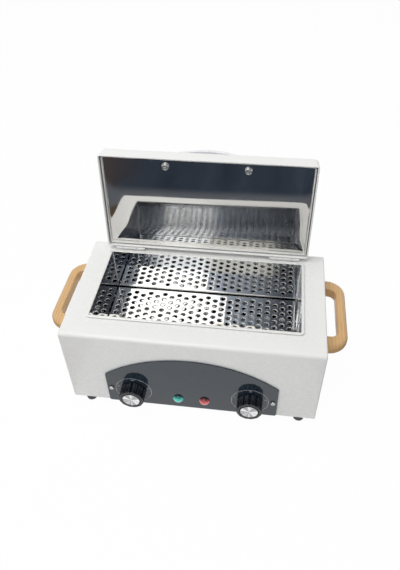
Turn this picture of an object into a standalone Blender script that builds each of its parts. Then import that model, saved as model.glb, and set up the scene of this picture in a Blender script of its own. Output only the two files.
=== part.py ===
"""A dry heat sterilizer for the bench, with its lid standing open.

A white sheet metal box on four rubber feet carries a stainless chamber with a
rolled rim. A perforated floor stands over a tubular heating element in the
chamber. The lid turns on two hinges behind the rim and has a stainless liner.
Two knobs, two lamps and an arched panel are on the front, and a wooden handle
is on each side.

Metres, +Z up, front towards -Y. The origin lies on the ground under the middle
of the bounding box. Body pieces are placed from the middle of the body's lower
edge, and lid pieces from the hinge axis, as they lie with the lid shut.
"""

import math

import bmesh
import bpy
from mathutils import Matrix, Vector

for thing in list(bpy.data.objects):
    bpy.data.objects.remove(thing)

# Chamber rim, which the rest follows
RIM_WIDTH = 0.250
RIM_DEPTH = 0.1205

# Body casing
SIDE_MARGIN = 0.025
FRONT_MARGIN = 0.02375
BODY_HEIGHT = 0.116
BODY_SHEET = 0.0012
TOP_BEND = 0.0045
END_BEND = 0.0018
BASE_SHEET = 0.0012
LIP_WIDTH = 0.014

# Clearances
SEAT_GAP = 0.0003
OVERRUN = 0.004

# Chamber
RIM_BAND = 0.0034
RIM_HEIGHT = 0.0020
RIM_CORNER = 0.0045
CHAMBER_SET_BACK = 0.0039
TANK_SHEET = 0.0008
TANK_DRAFT = 0.0008
TANK_FLOOR_FILLET = 0.0025
TANK_FLOOR_LEVEL = 0.036
OPENING_CLEARANCE = 0.0006

# Perforated floor
GRID_LEVEL = 0.057
GRID_SHEET = 0.0010
GRID_SIDE_GAP = 0.0012
GRID_FRONT_GAP = 0.0014
GRID_FLANGE_INSET = 0.0012
HOLE_DIAMETER = 0.0058
HOLE_PITCH = 0.0098
HOLE_MARGIN = 0.0030
HOLE_SIDES = 5

# Heating element
ELEMENT_DIAMETER = 0.0064
ELEMENT_LEVEL = 0.0105
ELEMENT_SPACING = 0.050
ELEMENT_END_GAP = 0.012
ELEMENT_TAIL = 0.010
ELEMENT_STUD_DIAMETER = 0.0030
ELEMENT_STUD_LENGTH = 0.006
ELEMENT_NUT_DIAMETER = 0.0120
ELEMENT_NUT_HEIGHT = 0.0040
REST_THICKNESS = 0.0012
REST_SPACING = 0.120
REST_MARGIN = 0.008

# Insulation and inner parts
INSULATION = 0.0060
INSULATION_TOP_GAP = 0.0015
WINDOW_DEPTH = 0.076
WINDOW_HEIGHT = 0.040
CUTOUT_DIAMETER = 0.0160
CUTOUT_HEIGHT = 0.0070
CUTOUT_LEVEL = 0.028
CONTROL_DEPTH = 0.0185
THERMOSTAT_SIDE = 0.0340
TIMER_DIAMETER = 0.0380
BUSH_DIAMETER = 0.0092
TERMINAL_LENGTH = 0.048
TERMINAL_WIDTH = 0.018
TERMINAL_HEIGHT = 0.012
TERMINAL_POLES = 4
POLE_DIAMETER = 0.0070
POLE_HEIGHT = 0.0035

# Control panel
PANEL_SIDE_MARGIN = 0.047
PANEL_SHEET = 0.0015
PANEL_FOOT = 0.0006
PANEL_SIDE_HEIGHT = 0.0515
PANEL_HEIGHT = 0.0886
PANEL_CORNER = 0.0026
PANEL_ARCH_CORNER = 0.0016
PANEL_SCREW_INSET = 0.00525
PANEL_SCREW_LEVEL = 0.0268

# Knobs
KNOB_INSET = 0.0325
KNOB_LEVEL = 0.0255
KNOB_DIAMETER = 0.0310
KNOB_HEIGHT = 0.0142
KNOB_GAP = 0.0010
KNOB_FLUTES = 12
POINTS_PER_FLUTE = 3
FLUTE_DEPTH = 0.0012
KNOB_CHAMFER = 0.0011
KNOB_POINTER = 0.0012
CAP_DIAMETER = 0.0224
CAP_THICKNESS = 0.0012
CAP_DISH = 0.0004
SHAFT_DIAMETER = 0.0060
SHAFT_INSERT = 0.011

# Lamps
LAMP_SPACING = 0.032
LAMP_LEVEL = 0.0172
LAMP_DIAMETER = 0.0124
LAMP_HEIGHT = 0.0042
LAMP_STEM_DIAMETER = 0.0080
LAMP_HOLDER_DIAMETER = 0.0110
LAMP_HOLDER_LENGTH = 0.016
LAMP_FLANGE = 0.0010

# Lid
LID_OPEN_ANGLE = math.radians(95.5)
LID_OVERHANG = 0.0036
LID_HEIGHT = 0.0220
LID_SHEET = 0.0012
LID_LIP = 0.0018
LID_LIP_HEIGHT = 0.0030
LID_LIFT = 0.0006
LID_RIM_CORNER = 0.0024
LID_TOP_CORNER = 0.0060
LID_TOP_ROUND = 0.0048
LINER_SHEET = 0.0008
LINER_HEM = 0.0016
LINER_SIDE_GAP = 0.0008
LINER_RECESS = 0.0070
LINER_HEM_DROP = 0.0038
LINER_CORNER = 0.0020
PAD_MARGIN = 0.0030

# Lid handle
LID_HANDLE_SPAN = 0.098
LID_HANDLE_WIDTH = 0.0160
LID_HANDLE_RISE = 0.0205
LID_HANDLE_FOOT = 0.0050
LID_HANDLE_GRIP = 0.0065
LID_HANDLE_END = 0.0085
LID_HANDLE_FULLNESS = 0.7
LID_HANDLE_FROM_FRONT = 0.0132
LID_SCREW_DIAMETER = 0.0040
LID_SCREW_HEAD_DIAMETER = 0.0090
LID_SCREW_HEAD_HEIGHT = 0.0026
LID_SCREW_BITE = 0.0035

# Hinges
HINGE_BEHIND_RIM = 0.0055
HINGE_INSET = 0.025
HINGE_LENGTH = 0.0370
HINGE_MIDDLE = 0.0180
KNUCKLE_RADIUS = 0.0024
KNUCKLE_GAP = 0.0004
LEAF_THICKNESS = 0.0010
BODY_LEAF_LENGTH = 0.0118
LID_LEAF_LENGTH = 0.0135
STOP_WIDTH = 0.0012
PIN_RADIUS = 0.00115
PIN_BORE = 0.00150

# Side handles
HANDLE_LEVEL = 0.090
HANDLE_SET_BACK = 0.0038
HANDLE_LENGTH = 0.113
HANDLE_REACH = 0.0268
HANDLE_THICKNESS = 0.0140
HANDLE_CORNER = 0.0230
HANDLE_EDGE = 0.0055
SLOT_LENGTH = 0.078
SLOT_DEPTH = 0.0150
SLOT_CORNER = 0.0085
SLOT_EDGE = 0.0015
HANDLE_SCREW_BITE = 0.0100

# Feet
FOOT_HEIGHT = 0.012
FOOT_DIAMETER = 0.0150
FOOT_TAPER = 0.0008
FOOT_EDGE = 0.0012
FOOT_INSET = 0.0190
FOOT_FRONT_INSET = 0.0090
FOOT_RECESS = 0.0045

# Power inlet
INLET_INSET = 0.055
INLET_LEVEL = 0.0165
INLET_FLANGE_WIDTH = 0.050
INLET_FLANGE_HEIGHT = 0.024
INLET_FLANGE = 0.0025
INLET_BODY_WIDTH = 0.0275
INLET_BODY_HEIGHT = 0.0200
INLET_BODY_DEPTH = 0.0190
INLET_WALL = 0.0016
INLET_RECESS = 0.0165
INLET_CHAMFER = 0.0050
INLET_SCREW_SPACING = 0.040
BLADE_WIDTH = 0.0020
BLADE_HEIGHT = 0.0040
BLADE_LENGTH = 0.0110
BLADE_SPACING = 0.0070
BLADE_RISE = 0.0020

# Small screws
SCREW_DIAMETER = 0.0030
SCREW_HEAD_DIAMETER = 0.0056
SCREW_HEAD_HEIGHT = 0.0020
SCREW_LENGTH = 0.0060
HANDLE_SCREW_DIAMETER = 0.0040
HANDLE_SCREW_HEAD_DIAMETER = 0.0080
CROSS_WIDTH = 0.0009
CROSS_DEPTH = 0.0008
CROSS_SPAN_SHARE = 0.56
PAN_TOP_SHARE = 0.72
HOLE_CLEARANCE = 0.0003

# Vents
VENT_WIDTH = 0.0030
VENT_PITCH = 0.0085
BASE_VENT_LENGTH = 0.038
BASE_VENT_COUNT = 4
BASE_VENT_SPACING = 0.120
REAR_VENT_LENGTH = 0.020
REAR_VENT_COUNT = 6
REAR_VENT_OFFSET = -0.060
REAR_VENT_LEVEL = 0.034

# Places that follow from the sizes above
WALL_Y = RIM_DEPTH / 2 + FRONT_MARGIN
WALL_X = RIM_WIDTH / 2 + SIDE_MARGIN
PANEL_HALF_WIDTH = WALL_X - PANEL_SIDE_MARGIN
KNOB_X = PANEL_HALF_WIDTH - KNOB_INSET
PANEL_SCREW_X = PANEL_HALF_WIDTH - PANEL_SCREW_INSET
HINGE_X = RIM_WIDTH / 2 - HINGE_INSET
INLET_X = WALL_X - INLET_INSET
TANK_HALF_WIDTH = RIM_WIDTH / 2 - RIM_BAND
TANK_HALF_DEPTH = RIM_DEPTH / 2 - RIM_BAND
RIM_TOP = BODY_HEIGHT + SEAT_GAP + RIM_HEIGHT
LIP_LEVEL = BASE_SHEET + 2 * SEAT_GAP
PANEL_FACE = WALL_Y + SEAT_GAP + PANEL_SHEET
HINGE_Y = CHAMBER_SET_BACK + RIM_DEPTH / 2 + HINGE_BEHIND_RIM
HINGE_Z = BODY_HEIGHT + SEAT_GAP + KNUCKLE_RADIUS
LID_BACK = -(KNUCKLE_RADIUS + SEAT_GAP)
LID_FRONT = CHAMBER_SET_BACK - RIM_DEPTH / 2 - LID_OVERHANG - HINGE_Y
LID_HALF_WIDTH = RIM_WIDTH / 2 + LID_OVERHANG
LID_HALF_DEPTH = (LID_BACK - LID_FRONT) / 2
LID_MIDDLE = (LID_BACK + LID_FRONT) / 2
LID_RIM = BODY_HEIGHT + LID_LIFT - HINGE_Z
LID_TOP = LID_RIM + LID_HEIGHT
LINER_FACE = LID_RIM + LINER_RECESS
LID_SCREW_Y = LID_FRONT + LID_HANDLE_FROM_FRONT

BEND_STEPS = 3
CORNER_STEPS = 2
ROUND_SIDES = 16
SMALL_SIDES = 12
BORE_SIDES = 8
HANDLE_STEPS = 5
SMOOTH_ANGLE = math.radians(35)
FRONT_FACING = Matrix.Rotation(math.pi / 2, 4, "X")
REAR_FACING = Matrix.Rotation(math.pi, 4, "Z") @ FRONT_FACING


def finish(name, colour, roughness, metallic=0.0):
    """A Principled material with one colour."""
    material = bpy.data.materials.new(name)
    material.use_nodes = True
    shader = material.node_tree.nodes["Principled BSDF"]
    shader.inputs["Base Color"].default_value = (*colour, 1.0)
    shader.inputs["Roughness"].default_value = roughness
    shader.inputs["Metallic"].default_value = metallic
    return material


def empty(name, parent=None, at=(0, 0, 0), turn=(0, 0, 0)):
    """An empty that carries the pieces of one body."""
    carrier = bpy.data.objects.new(name, None)
    carrier.location = at
    carrier.rotation_euler = turn
    carrier.parent = parent
    bpy.context.collection.objects.link(carrier)
    return carrier


def piece(name, shape, material, parent, place=None):
    """An object made from a bmesh."""
    bmesh.ops.recalc_face_normals(shape, faces=shape.faces)
    mesh = bpy.data.meshes.new(name)
    shape.to_mesh(mesh)
    shape.free()
    mesh.materials.append(material)
    made = bpy.data.objects.new(name, mesh)
    made.parent = parent
    if place is not None:
        made.matrix_local = place
    bpy.context.collection.objects.link(made)
    return made


def helper(name, shape, parent, place=None):
    """A cutter or an addition for a Boolean, left out of the model itself."""
    made = piece(name, shape, None, parent, place)
    made.hide_render = True
    made.display_type = "WIRE"
    return made


def combine(target, other, operation):
    """Adds one exact Boolean to the target."""
    step = target.modifiers.new(f"{operation.lower()} {other.name}", "BOOLEAN")
    step.operation = operation
    step.solver = "EXACT"
    step.object = other


def at(x, y, z, turn=None):
    """A placing matrix: a shift after an optional turn."""
    shift = Matrix.Translation((x, y, z))
    return shift if turn is None else shift @ turn


def arc(centre, radius, start, end, steps):
    """Points on a circular arc, both ends included."""
    turns = [start + (end - start) * i / steps for i in range(steps + 1)]
    return [(centre[0] + radius * math.cos(a), centre[1] + radius * math.sin(a)) for a in turns]


def rounded_rectangle(half_x, half_y, corner, centre=(0, 0), steps=CORNER_STEPS):
    """An outline with four round corners, anticlockwise."""
    points = []
    for quarter, (sx, sy) in enumerate(((1, 1), (-1, 1), (-1, -1), (1, -1))):
        middle = (centre[0] + sx * (half_x - corner), centre[1] + sy * (half_y - corner))
        points += arc(middle, corner, quarter * math.pi / 2, (quarter + 1) * math.pi / 2, steps)
    return points


def circle(radius, sides, centre=(0, 0)):
    """A regular outline whose corners lie on the circle."""
    return [
        (centre[0] + radius * math.cos(a), centre[1] + radius * math.sin(a))
        for a in (2 * math.pi * i / sides for i in range(sides))
    ]


def radius_of_equal_area(radius, sides):
    """The corner radius of a regular outline with the area of a circle."""
    wedge = 2 * math.pi / sides
    return radius * math.sqrt(wedge / math.sin(wedge))


def slot(length, width, centre=(0, 0), upright=False):
    """An outline with round ends."""
    half = (length - width) / 2
    right = arc((half, 0), width / 2, -math.pi / 2, math.pi / 2, CORNER_STEPS)
    left = arc((-half, 0), width / 2, math.pi / 2, 3 * math.pi / 2, CORNER_STEPS)
    points = right + left
    if upright:
        points = [(-y, x) for x, y in points]
    return [(centre[0] + x, centre[1] + y) for x, y in points]


def loft(rings):
    """A closed solid through rings of points, capped at both ends."""
    shape = bmesh.new()
    rows = [[shape.verts.new(point) for point in ring] for ring in rings]
    for low, high in zip(rows, rows[1:]):
        for i in range(len(low)):
            shape.faces.new((low[i - 1], low[i], high[i], high[i - 1]))
    shape.faces.new(rows[0])
    shape.faces.new(rows[-1])
    return shape


def prism(outline, low, high):
    """A solid with straight sides over an outline in XY."""
    return loft([[(x, y, z) for x, y in outline] for z in (low, high)])


def box(low, high):
    """A block between two corners."""
    outline = [(low[0], low[1]), (high[0], low[1]), (high[0], high[1]), (low[0], high[1])]
    return prism(outline, low[2], high[2])


def turned(profile, sides):
    """A solid of revolution about Z through (radius, height) points."""
    shape = bmesh.new()
    rows = []
    for radius, height in profile:
        if radius == 0:
            rows.append([shape.verts.new((0, 0, height))])
        else:
            rows.append([shape.verts.new((x, y, height)) for x, y in circle(radius, sides)])
    for low, high in zip(rows, rows[1:]):
        for i in range(sides):
            corners = [low[i - 1] if len(low) > 1 else low[0]]
            corners += [low[i]] if len(low) > 1 else []
            corners += [high[i]] if len(high) > 1 else [high[0]]
            corners += [high[i - 1]] if len(high) > 1 else []
            shape.faces.new(corners)
    return shape


def plate(outline, holes, low, high):
    """A flat sheet with holes, made as one filled face and given its thickness."""
    shape = bmesh.new()
    for points in (outline, *holes):
        corners = [shape.verts.new((x, y, low)) for x, y in points]
        for i, corner in enumerate(corners):
            shape.edges.new((corners[i - 1], corner))
    bmesh.ops.triangle_fill(shape, use_beauty=True, use_dissolve=False, edges=shape.edges[:])
    grown = bmesh.ops.extrude_face_region(shape, geom=shape.faces[:])
    raised = [part for part in grown["geom"] if isinstance(part, bmesh.types.BMVert)]
    bmesh.ops.translate(shape, verts=raised, vec=Vector((0, 0, high - low)))
    return shape


def screw_shape(diameter, head_diameter, head_height, length):
    """A pan head screw along Z, with the head's seat at zero and the head above."""
    shank, head = diameter / 2, head_diameter / 2
    return turned(
        [
            (0, -length),
            (shank, -length),
            (shank, 0),
            (head, 0),
            (head, head_height / 2),
            (head * PAN_TOP_SHARE, head_height),
            (0, head_height),
        ],
        BORE_SIDES,
    )


def screw(name, parent, place, diameter, head_diameter, head_height, length, crossed=True):
    """A pan head screw, with a cross recess where its head can be reached."""
    shape = screw_shape(diameter, head_diameter, head_height, length)
    made = piece(name, shape, STEEL, parent, place)
    if not crossed:
        return
    arm = CROSS_WIDTH / 2
    reach = head_diameter * CROSS_SPAN_SHARE / 2
    quarter = [(reach, -arm), (reach, arm), (arm, arm)]
    outline = []
    for _ in range(4):
        outline += quarter
        quarter = [(-y, x) for x, y in quarter]
    cross = prism(outline, head_height - CROSS_DEPTH, head_height + OVERRUN)
    combine(made, helper(f"{name} cross", cross, parent, place), "DIFFERENCE")


# Finishes
WHITE_PAINT = finish("white_paint", (0.80, 0.80, 0.79), 0.35)
STAINLESS = finish("stainless", (0.62, 0.63, 0.65), 0.12, 1.0)
MIRROR = finish("mirror_stainless", (0.60, 0.61, 0.63), 0.04, 1.0)
STEEL = finish("screw_steel", (0.58, 0.58, 0.58), 0.25, 1.0)
PANEL_GREY = finish("panel_grey", (0.085, 0.100, 0.115), 0.12)
KNOB_BLACK = finish("knob_black", (0.012, 0.013, 0.016), 0.35)
SPUN_ALUMINIUM = finish("spun_aluminium", (0.80, 0.80, 0.80), 0.25, 1.0)
WOOD = finish("wood", (0.66, 0.42, 0.20), 0.45)
HANDLE_PLASTIC = finish("handle_plastic", (0.82, 0.80, 0.84), 0.40)
GREEN_LENS = finish("green_lens", (0.02, 0.42, 0.34), 0.15)
RED_LENS = finish("red_lens", (0.55, 0.05, 0.05), 0.15)
DARK_PLASTIC = finish("dark_plastic", (0.03, 0.03, 0.03), 0.5)
RUBBER = finish("rubber", (0.05, 0.05, 0.055), 0.8)
GREY_METAL = finish("zinc_plate", (0.50, 0.50, 0.50), 0.4, 1.0)
WOOL = finish("insulation", (0.72, 0.68, 0.56), 0.95)
CERAMIC = finish("ceramic", (0.80, 0.78, 0.72), 0.6)


def casing_ring(x, inset, bend, low):
    """The casing's cross section at one station along its width."""
    half = WALL_Y - inset
    top = BODY_HEIGHT - inset
    front = arc((-half + bend, top - bend), bend, math.pi, math.pi / 2, BEND_STEPS)
    back = arc((half - bend, top - bend), bend, math.pi / 2, 0, BEND_STEPS)
    return [(x, y, z) for y, z in [(-half, low), *front, *back, (half, low)]]


def casing_shell():
    """The outer form of the casing, with its ends rounded over."""
    stations = []
    for i in range(CORNER_STEPS + 1):
        turn = math.pi / 2 * i / CORNER_STEPS
        stations.append((WALL_X - END_BEND * (1 - math.cos(turn)), END_BEND * (1 - math.sin(turn))))
    stations = [(-x, inset) for x, inset in stations] + stations[::-1]
    return loft([casing_ring(x, inset, TOP_BEND - inset / 2, 0) for x, inset in stations])


def control_places():
    """X and Z of the knobs' axes, left first."""
    return [(-KNOB_X, KNOB_LEVEL), (KNOB_X, KNOB_LEVEL)]


def lamp_places():
    """X and Z of the lamps' axes, left first."""
    return [(-LAMP_SPACING / 2, LAMP_LEVEL), (LAMP_SPACING / 2, LAMP_LEVEL)]


def panel_screw_places():
    """X and Z of the two panel screws."""
    return [(side * PANEL_SCREW_X, PANEL_SCREW_LEVEL) for side in (-1, 1)]


def front_holes():
    """The holes that the front wall and the panel share, seen from the front."""
    holes = [circle(BUSH_DIAMETER / 2 + HOLE_CLEARANCE, ROUND_SIDES, p) for p in control_places()]
    holes += [circle(LAMP_STEM_DIAMETER / 2 + HOLE_CLEARANCE, ROUND_SIDES, p) for p in lamp_places()]
    holes += [circle(SCREW_DIAMETER / 2 + HOLE_CLEARANCE, BORE_SIDES, p) for p in panel_screw_places()]
    return holes


def add_solids(shapes):
    """One bmesh that holds several separate solids, for use as a cutter."""
    joined = bmesh.new()
    for shape in shapes:
        mesh = bpy.data.meshes.new("part of a cutter")
        bmesh.ops.recalc_face_normals(shape, faces=shape.faces)
        shape.to_mesh(mesh)
        shape.free()
        joined.from_mesh(mesh)
        bpy.data.meshes.remove(mesh)
    return joined


def handle_screw_places():
    """Y of the two screws of a side handle."""
    reach = (HANDLE_LENGTH + SLOT_LENGTH) / 4
    return [HANDLE_SET_BACK + side * reach for side in (-1, 1)]


def foot_places():
    """X and Y of the four feet."""
    x = WALL_X - FOOT_INSET
    y = WALL_Y - FOOT_FRONT_INSET
    return {
        "front_left": (-x, -y),
        "front_right": (x, -y),
        "rear_left": (-x, y),
        "rear_right": (x, y),
    }


def make_casing(body):
    """The white box: one sheet metal wrap with ends, open below inside its lips."""
    casing = piece("outer_casing", casing_shell(), WHITE_PAINT, body)
    inside = WALL_X - BODY_SHEET
    lip_top = LIP_LEVEL + BODY_SHEET
    hollow = loft([casing_ring(x, BODY_SHEET, TOP_BEND - BODY_SHEET, lip_top) for x in (-inside, inside)])
    combine(casing, helper("casing hollow", hollow, body), "DIFFERENCE")
    deep = WALL_Y - BODY_SHEET
    recess = box((-inside, -deep, -OVERRUN), (inside, deep, LIP_LEVEL))
    combine(casing, helper("casing base recess", recess, body), "DIFFERENCE")
    way_x, way_y = inside - LIP_WIDTH, deep - LIP_WIDTH
    way = box((-way_x, -way_y, -OVERRUN), (way_x, way_y, lip_top + OVERRUN))
    combine(casing, helper("casing base way", way, body), "DIFFERENCE")
    opening = rounded_rectangle(
        TANK_HALF_WIDTH + TANK_SHEET + OPENING_CLEARANCE,
        TANK_HALF_DEPTH + TANK_SHEET + OPENING_CLEARANCE,
        RIM_CORNER - RIM_BAND + TANK_SHEET + OPENING_CLEARANCE,
        (0, CHAMBER_SET_BACK),
    )
    top = prism(opening, BODY_HEIGHT - BODY_SHEET - OVERRUN, BODY_HEIGHT + OVERRUN)
    combine(casing, helper("casing top opening", top, body), "DIFFERENCE")
    front = add_solids([prism(hole, -OVERRUN, OVERRUN) for hole in front_holes()])
    front_place = at(0, -WALL_Y, 0, FRONT_FACING)
    combine(casing, helper("casing front holes", front, body, front_place), "DIFFERENCE")
    rear = [prism(rounded_rectangle(
        INLET_BODY_WIDTH / 2 + HOLE_CLEARANCE,
        INLET_BODY_HEIGHT / 2 + HOLE_CLEARANCE,
        INLET_WALL,
        (-INLET_X, INLET_LEVEL),
    ), -OVERRUN, OVERRUN)]
    for side in (-1, 1):
        spot = (-INLET_X + side * INLET_SCREW_SPACING / 2, INLET_LEVEL)
        rear.append(prism(circle(SCREW_DIAMETER / 2 + HOLE_CLEARANCE, BORE_SIDES, spot), -OVERRUN, OVERRUN))
    for i in range(REAR_VENT_COUNT):
        spot = (-REAR_VENT_OFFSET + (i - (REAR_VENT_COUNT - 1) / 2) * VENT_PITCH, REAR_VENT_LEVEL)
        rear.append(prism(slot(REAR_VENT_LENGTH, VENT_WIDTH, spot, upright=True), -OVERRUN, OVERRUN))
    rear_place = at(0, WALL_Y, 0, REAR_FACING)
    combine(casing, helper("casing rear holes", add_solids(rear), body, rear_place), "DIFFERENCE")
    bores = []
    for y in handle_screw_places():
        outline = circle(HANDLE_SCREW_DIAMETER / 2 + HOLE_CLEARANCE, BORE_SIDES, (-HANDLE_LEVEL, y))
        bores.append(prism(outline, -WALL_X - OVERRUN, -WALL_X + OVERRUN))
        bores.append(prism(outline, WALL_X - OVERRUN, WALL_X + OVERRUN))
    sideways = Matrix.Rotation(math.pi / 2, 4, "Y")
    combine(casing, helper("casing side bores", add_solids(bores), body, sideways), "DIFFERENCE")
    bolts = []
    for spot in foot_places().values():
        outline = circle(SCREW_DIAMETER / 2 + HOLE_CLEARANCE, BORE_SIDES, spot)
        bolts.append(prism(outline, LIP_LEVEL - OVERRUN / 2, lip_top + OVERRUN))
    combine(casing, helper("casing foot bores", add_solids(bolts), body), "DIFFERENCE")


def make_base(body):
    """The base sheet, the rubber feet and the screws that hold both to the casing."""
    half_x = WALL_X - BODY_SHEET - SEAT_GAP
    half_y = WALL_Y - BODY_SHEET - SEAT_GAP
    holes = [circle(SCREW_DIAMETER / 2 + HOLE_CLEARANCE, BORE_SIDES, p) for p in foot_places().values()]
    for group in (-1, 1):
        for i in range(BASE_VENT_COUNT):
            y = (i - (BASE_VENT_COUNT - 1) / 2) * VENT_PITCH
            holes.append(slot(BASE_VENT_LENGTH, VENT_WIDTH, (group * BASE_VENT_SPACING / 2, y)))
    outline = rounded_rectangle(half_x, half_y, END_BEND)
    piece("base_plate", plate(outline, holes, SEAT_GAP, SEAT_GAP + BASE_SHEET), GREY_METAL, body)
    top = FOOT_DIAMETER / 2
    low = top - FOOT_TAPER
    well = SCREW_HEAD_DIAMETER / 2 + SEAT_GAP
    bore = SCREW_DIAMETER / 2 + HOLE_CLEARANCE
    for name, (x, y) in foot_places().items():
        profile = [
            (bore, -SEAT_GAP / 2),
            (top, -SEAT_GAP / 2),
            (low, -FOOT_HEIGHT + FOOT_EDGE),
            (low - FOOT_EDGE, -FOOT_HEIGHT),
            (well, -FOOT_HEIGHT),
            (well, -FOOT_HEIGHT + FOOT_RECESS),
            (bore, -FOOT_HEIGHT + FOOT_RECESS),
        ]
        piece(f"foot_{name}", ring_solid(profile, SMALL_SIDES), RUBBER, body, at(x, y, 0))
        grip = FOOT_HEIGHT - FOOT_RECESS + LIP_LEVEL + BODY_SHEET + SEAT_GAP
        below = at(x, y, -FOOT_HEIGHT + FOOT_RECESS - SEAT_GAP, Matrix.Rotation(math.pi, 4, "X"))
        screw(f"foot_screw_{name}", body, below, SCREW_DIAMETER, SCREW_HEAD_DIAMETER, SCREW_HEAD_HEIGHT, grip)


def ring_solid(profile, sides):
    """A solid of revolution about Z whose closed profile stays off the axis."""
    shape = bmesh.new()
    rows = [[shape.verts.new((x, y, z)) for x, y in circle(r, sides)] for r, z in profile]
    for j, low in enumerate(rows):
        high = rows[(j + 1) % len(rows)]
        for i in range(sides):
            shape.faces.new((low[i - 1], low[i], high[i], high[i - 1]))
    return shape


def chamber_ring(z, grow, corner):
    """An outline round the chamber at one height, grown outwards from its inner wall."""
    outline = rounded_rectangle(
        TANK_HALF_WIDTH + grow, TANK_HALF_DEPTH + grow, corner, (0, CHAMBER_SET_BACK)
    )
    return [(x, y, z) for x, y in outline]


def element_places():
    """Y of the element's two legs."""
    return [CHAMBER_SET_BACK + side * ELEMENT_SPACING / 2 for side in (-1, 1)]


def make_chamber(body):
    """The stainless tank with its rolled rim, and the perforated floor on its flanges."""
    seat = BODY_HEIGHT + SEAT_GAP
    inner = RIM_CORNER - RIM_BAND
    floor = TANK_FLOOR_LEVEL
    fillet = TANK_FLOOR_FILLET
    bead = RIM_HEIGHT / 2
    rings = [
        chamber_ring(floor - TANK_SHEET, TANK_SHEET - TANK_DRAFT - fillet, inner),
        chamber_ring(floor + fillet - TANK_SHEET, TANK_SHEET - TANK_DRAFT, inner + TANK_SHEET),
        chamber_ring(seat, TANK_SHEET, inner + TANK_SHEET),
        chamber_ring(seat, RIM_BAND - bead / 2, RIM_CORNER - bead / 2),
        chamber_ring(seat + bead / 2, RIM_BAND, RIM_CORNER),
        chamber_ring(seat + bead, RIM_BAND, RIM_CORNER),
        chamber_ring(RIM_TOP - bead / 4, RIM_BAND - bead / 2, RIM_CORNER - bead / 2),
        chamber_ring(RIM_TOP, RIM_BAND - bead, RIM_CORNER - bead),
        chamber_ring(RIM_TOP, bead / 2, inner + bead / 2),
        chamber_ring(RIM_TOP - bead / 2, 0, inner),
        chamber_ring(floor + fillet, -TANK_DRAFT, inner),
        chamber_ring(floor, -TANK_DRAFT - fillet, inner),
    ]
    tank = piece("chamber_tank", loft(rings), STAINLESS, body)
    bores = []
    for y in element_places():
        spot = (-(floor + ELEMENT_LEVEL), y)
        outline = circle(ELEMENT_DIAMETER / 2 + HOLE_CLEARANCE, BORE_SIDES, spot)
        bores.append(prism(outline, TANK_HALF_WIDTH - OVERRUN, TANK_HALF_WIDTH + OVERRUN))
    sideways = Matrix.Rotation(math.pi / 2, 4, "Y")
    combine(tank, helper("tank element bores", add_solids(bores), body, sideways), "DIFFERENCE")

    half_x = TANK_HALF_WIDTH - TANK_DRAFT - GRID_SIDE_GAP
    half_y = TANK_HALF_DEPTH - TANK_DRAFT - GRID_FRONT_GAP
    reach = radius_of_equal_area(HOLE_DIAMETER / 2, HOLE_SIDES)
    lost = HOLE_DIAMETER + 2 * HOLE_MARGIN
    columns = 1 + math.floor((2 * half_x - lost) / HOLE_PITCH)
    rows = 1 + math.floor((2 * half_y - lost) / HOLE_PITCH - 1 / 2)
    holes = []
    for column in range(columns):
        x = (column - (columns - 1) / 2) * HOLE_PITCH
        shift = HOLE_PITCH / 4 if column % 2 == 0 else -HOLE_PITCH / 4
        for row in range(rows):
            y = CHAMBER_SET_BACK + (row - (rows - 1) / 2) * HOLE_PITCH + shift
            holes.append(circle(reach, HOLE_SIDES, (x, y)))
    outline = rounded_rectangle(half_x, half_y, inner, (0, CHAMBER_SET_BACK), 1)
    sheet = plate(outline, holes, GRID_LEVEL - GRID_SHEET, GRID_LEVEL)
    grid = piece("perforated_floor", sheet, STAINLESS, body)
    for side, name in ((-1, "front"), (1, "rear")):
        near = CHAMBER_SET_BACK + side * (half_y - GRID_FLANGE_INSET)
        far = near - side * GRID_SHEET
        low = (-half_x + inner, min(near, far), floor + SEAT_GAP)
        high = (half_x - inner, max(near, far), GRID_LEVEL - GRID_SHEET / 2)
        combine(grid, helper(f"floor {name} flange", box(low, high), body), "UNION")


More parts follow.
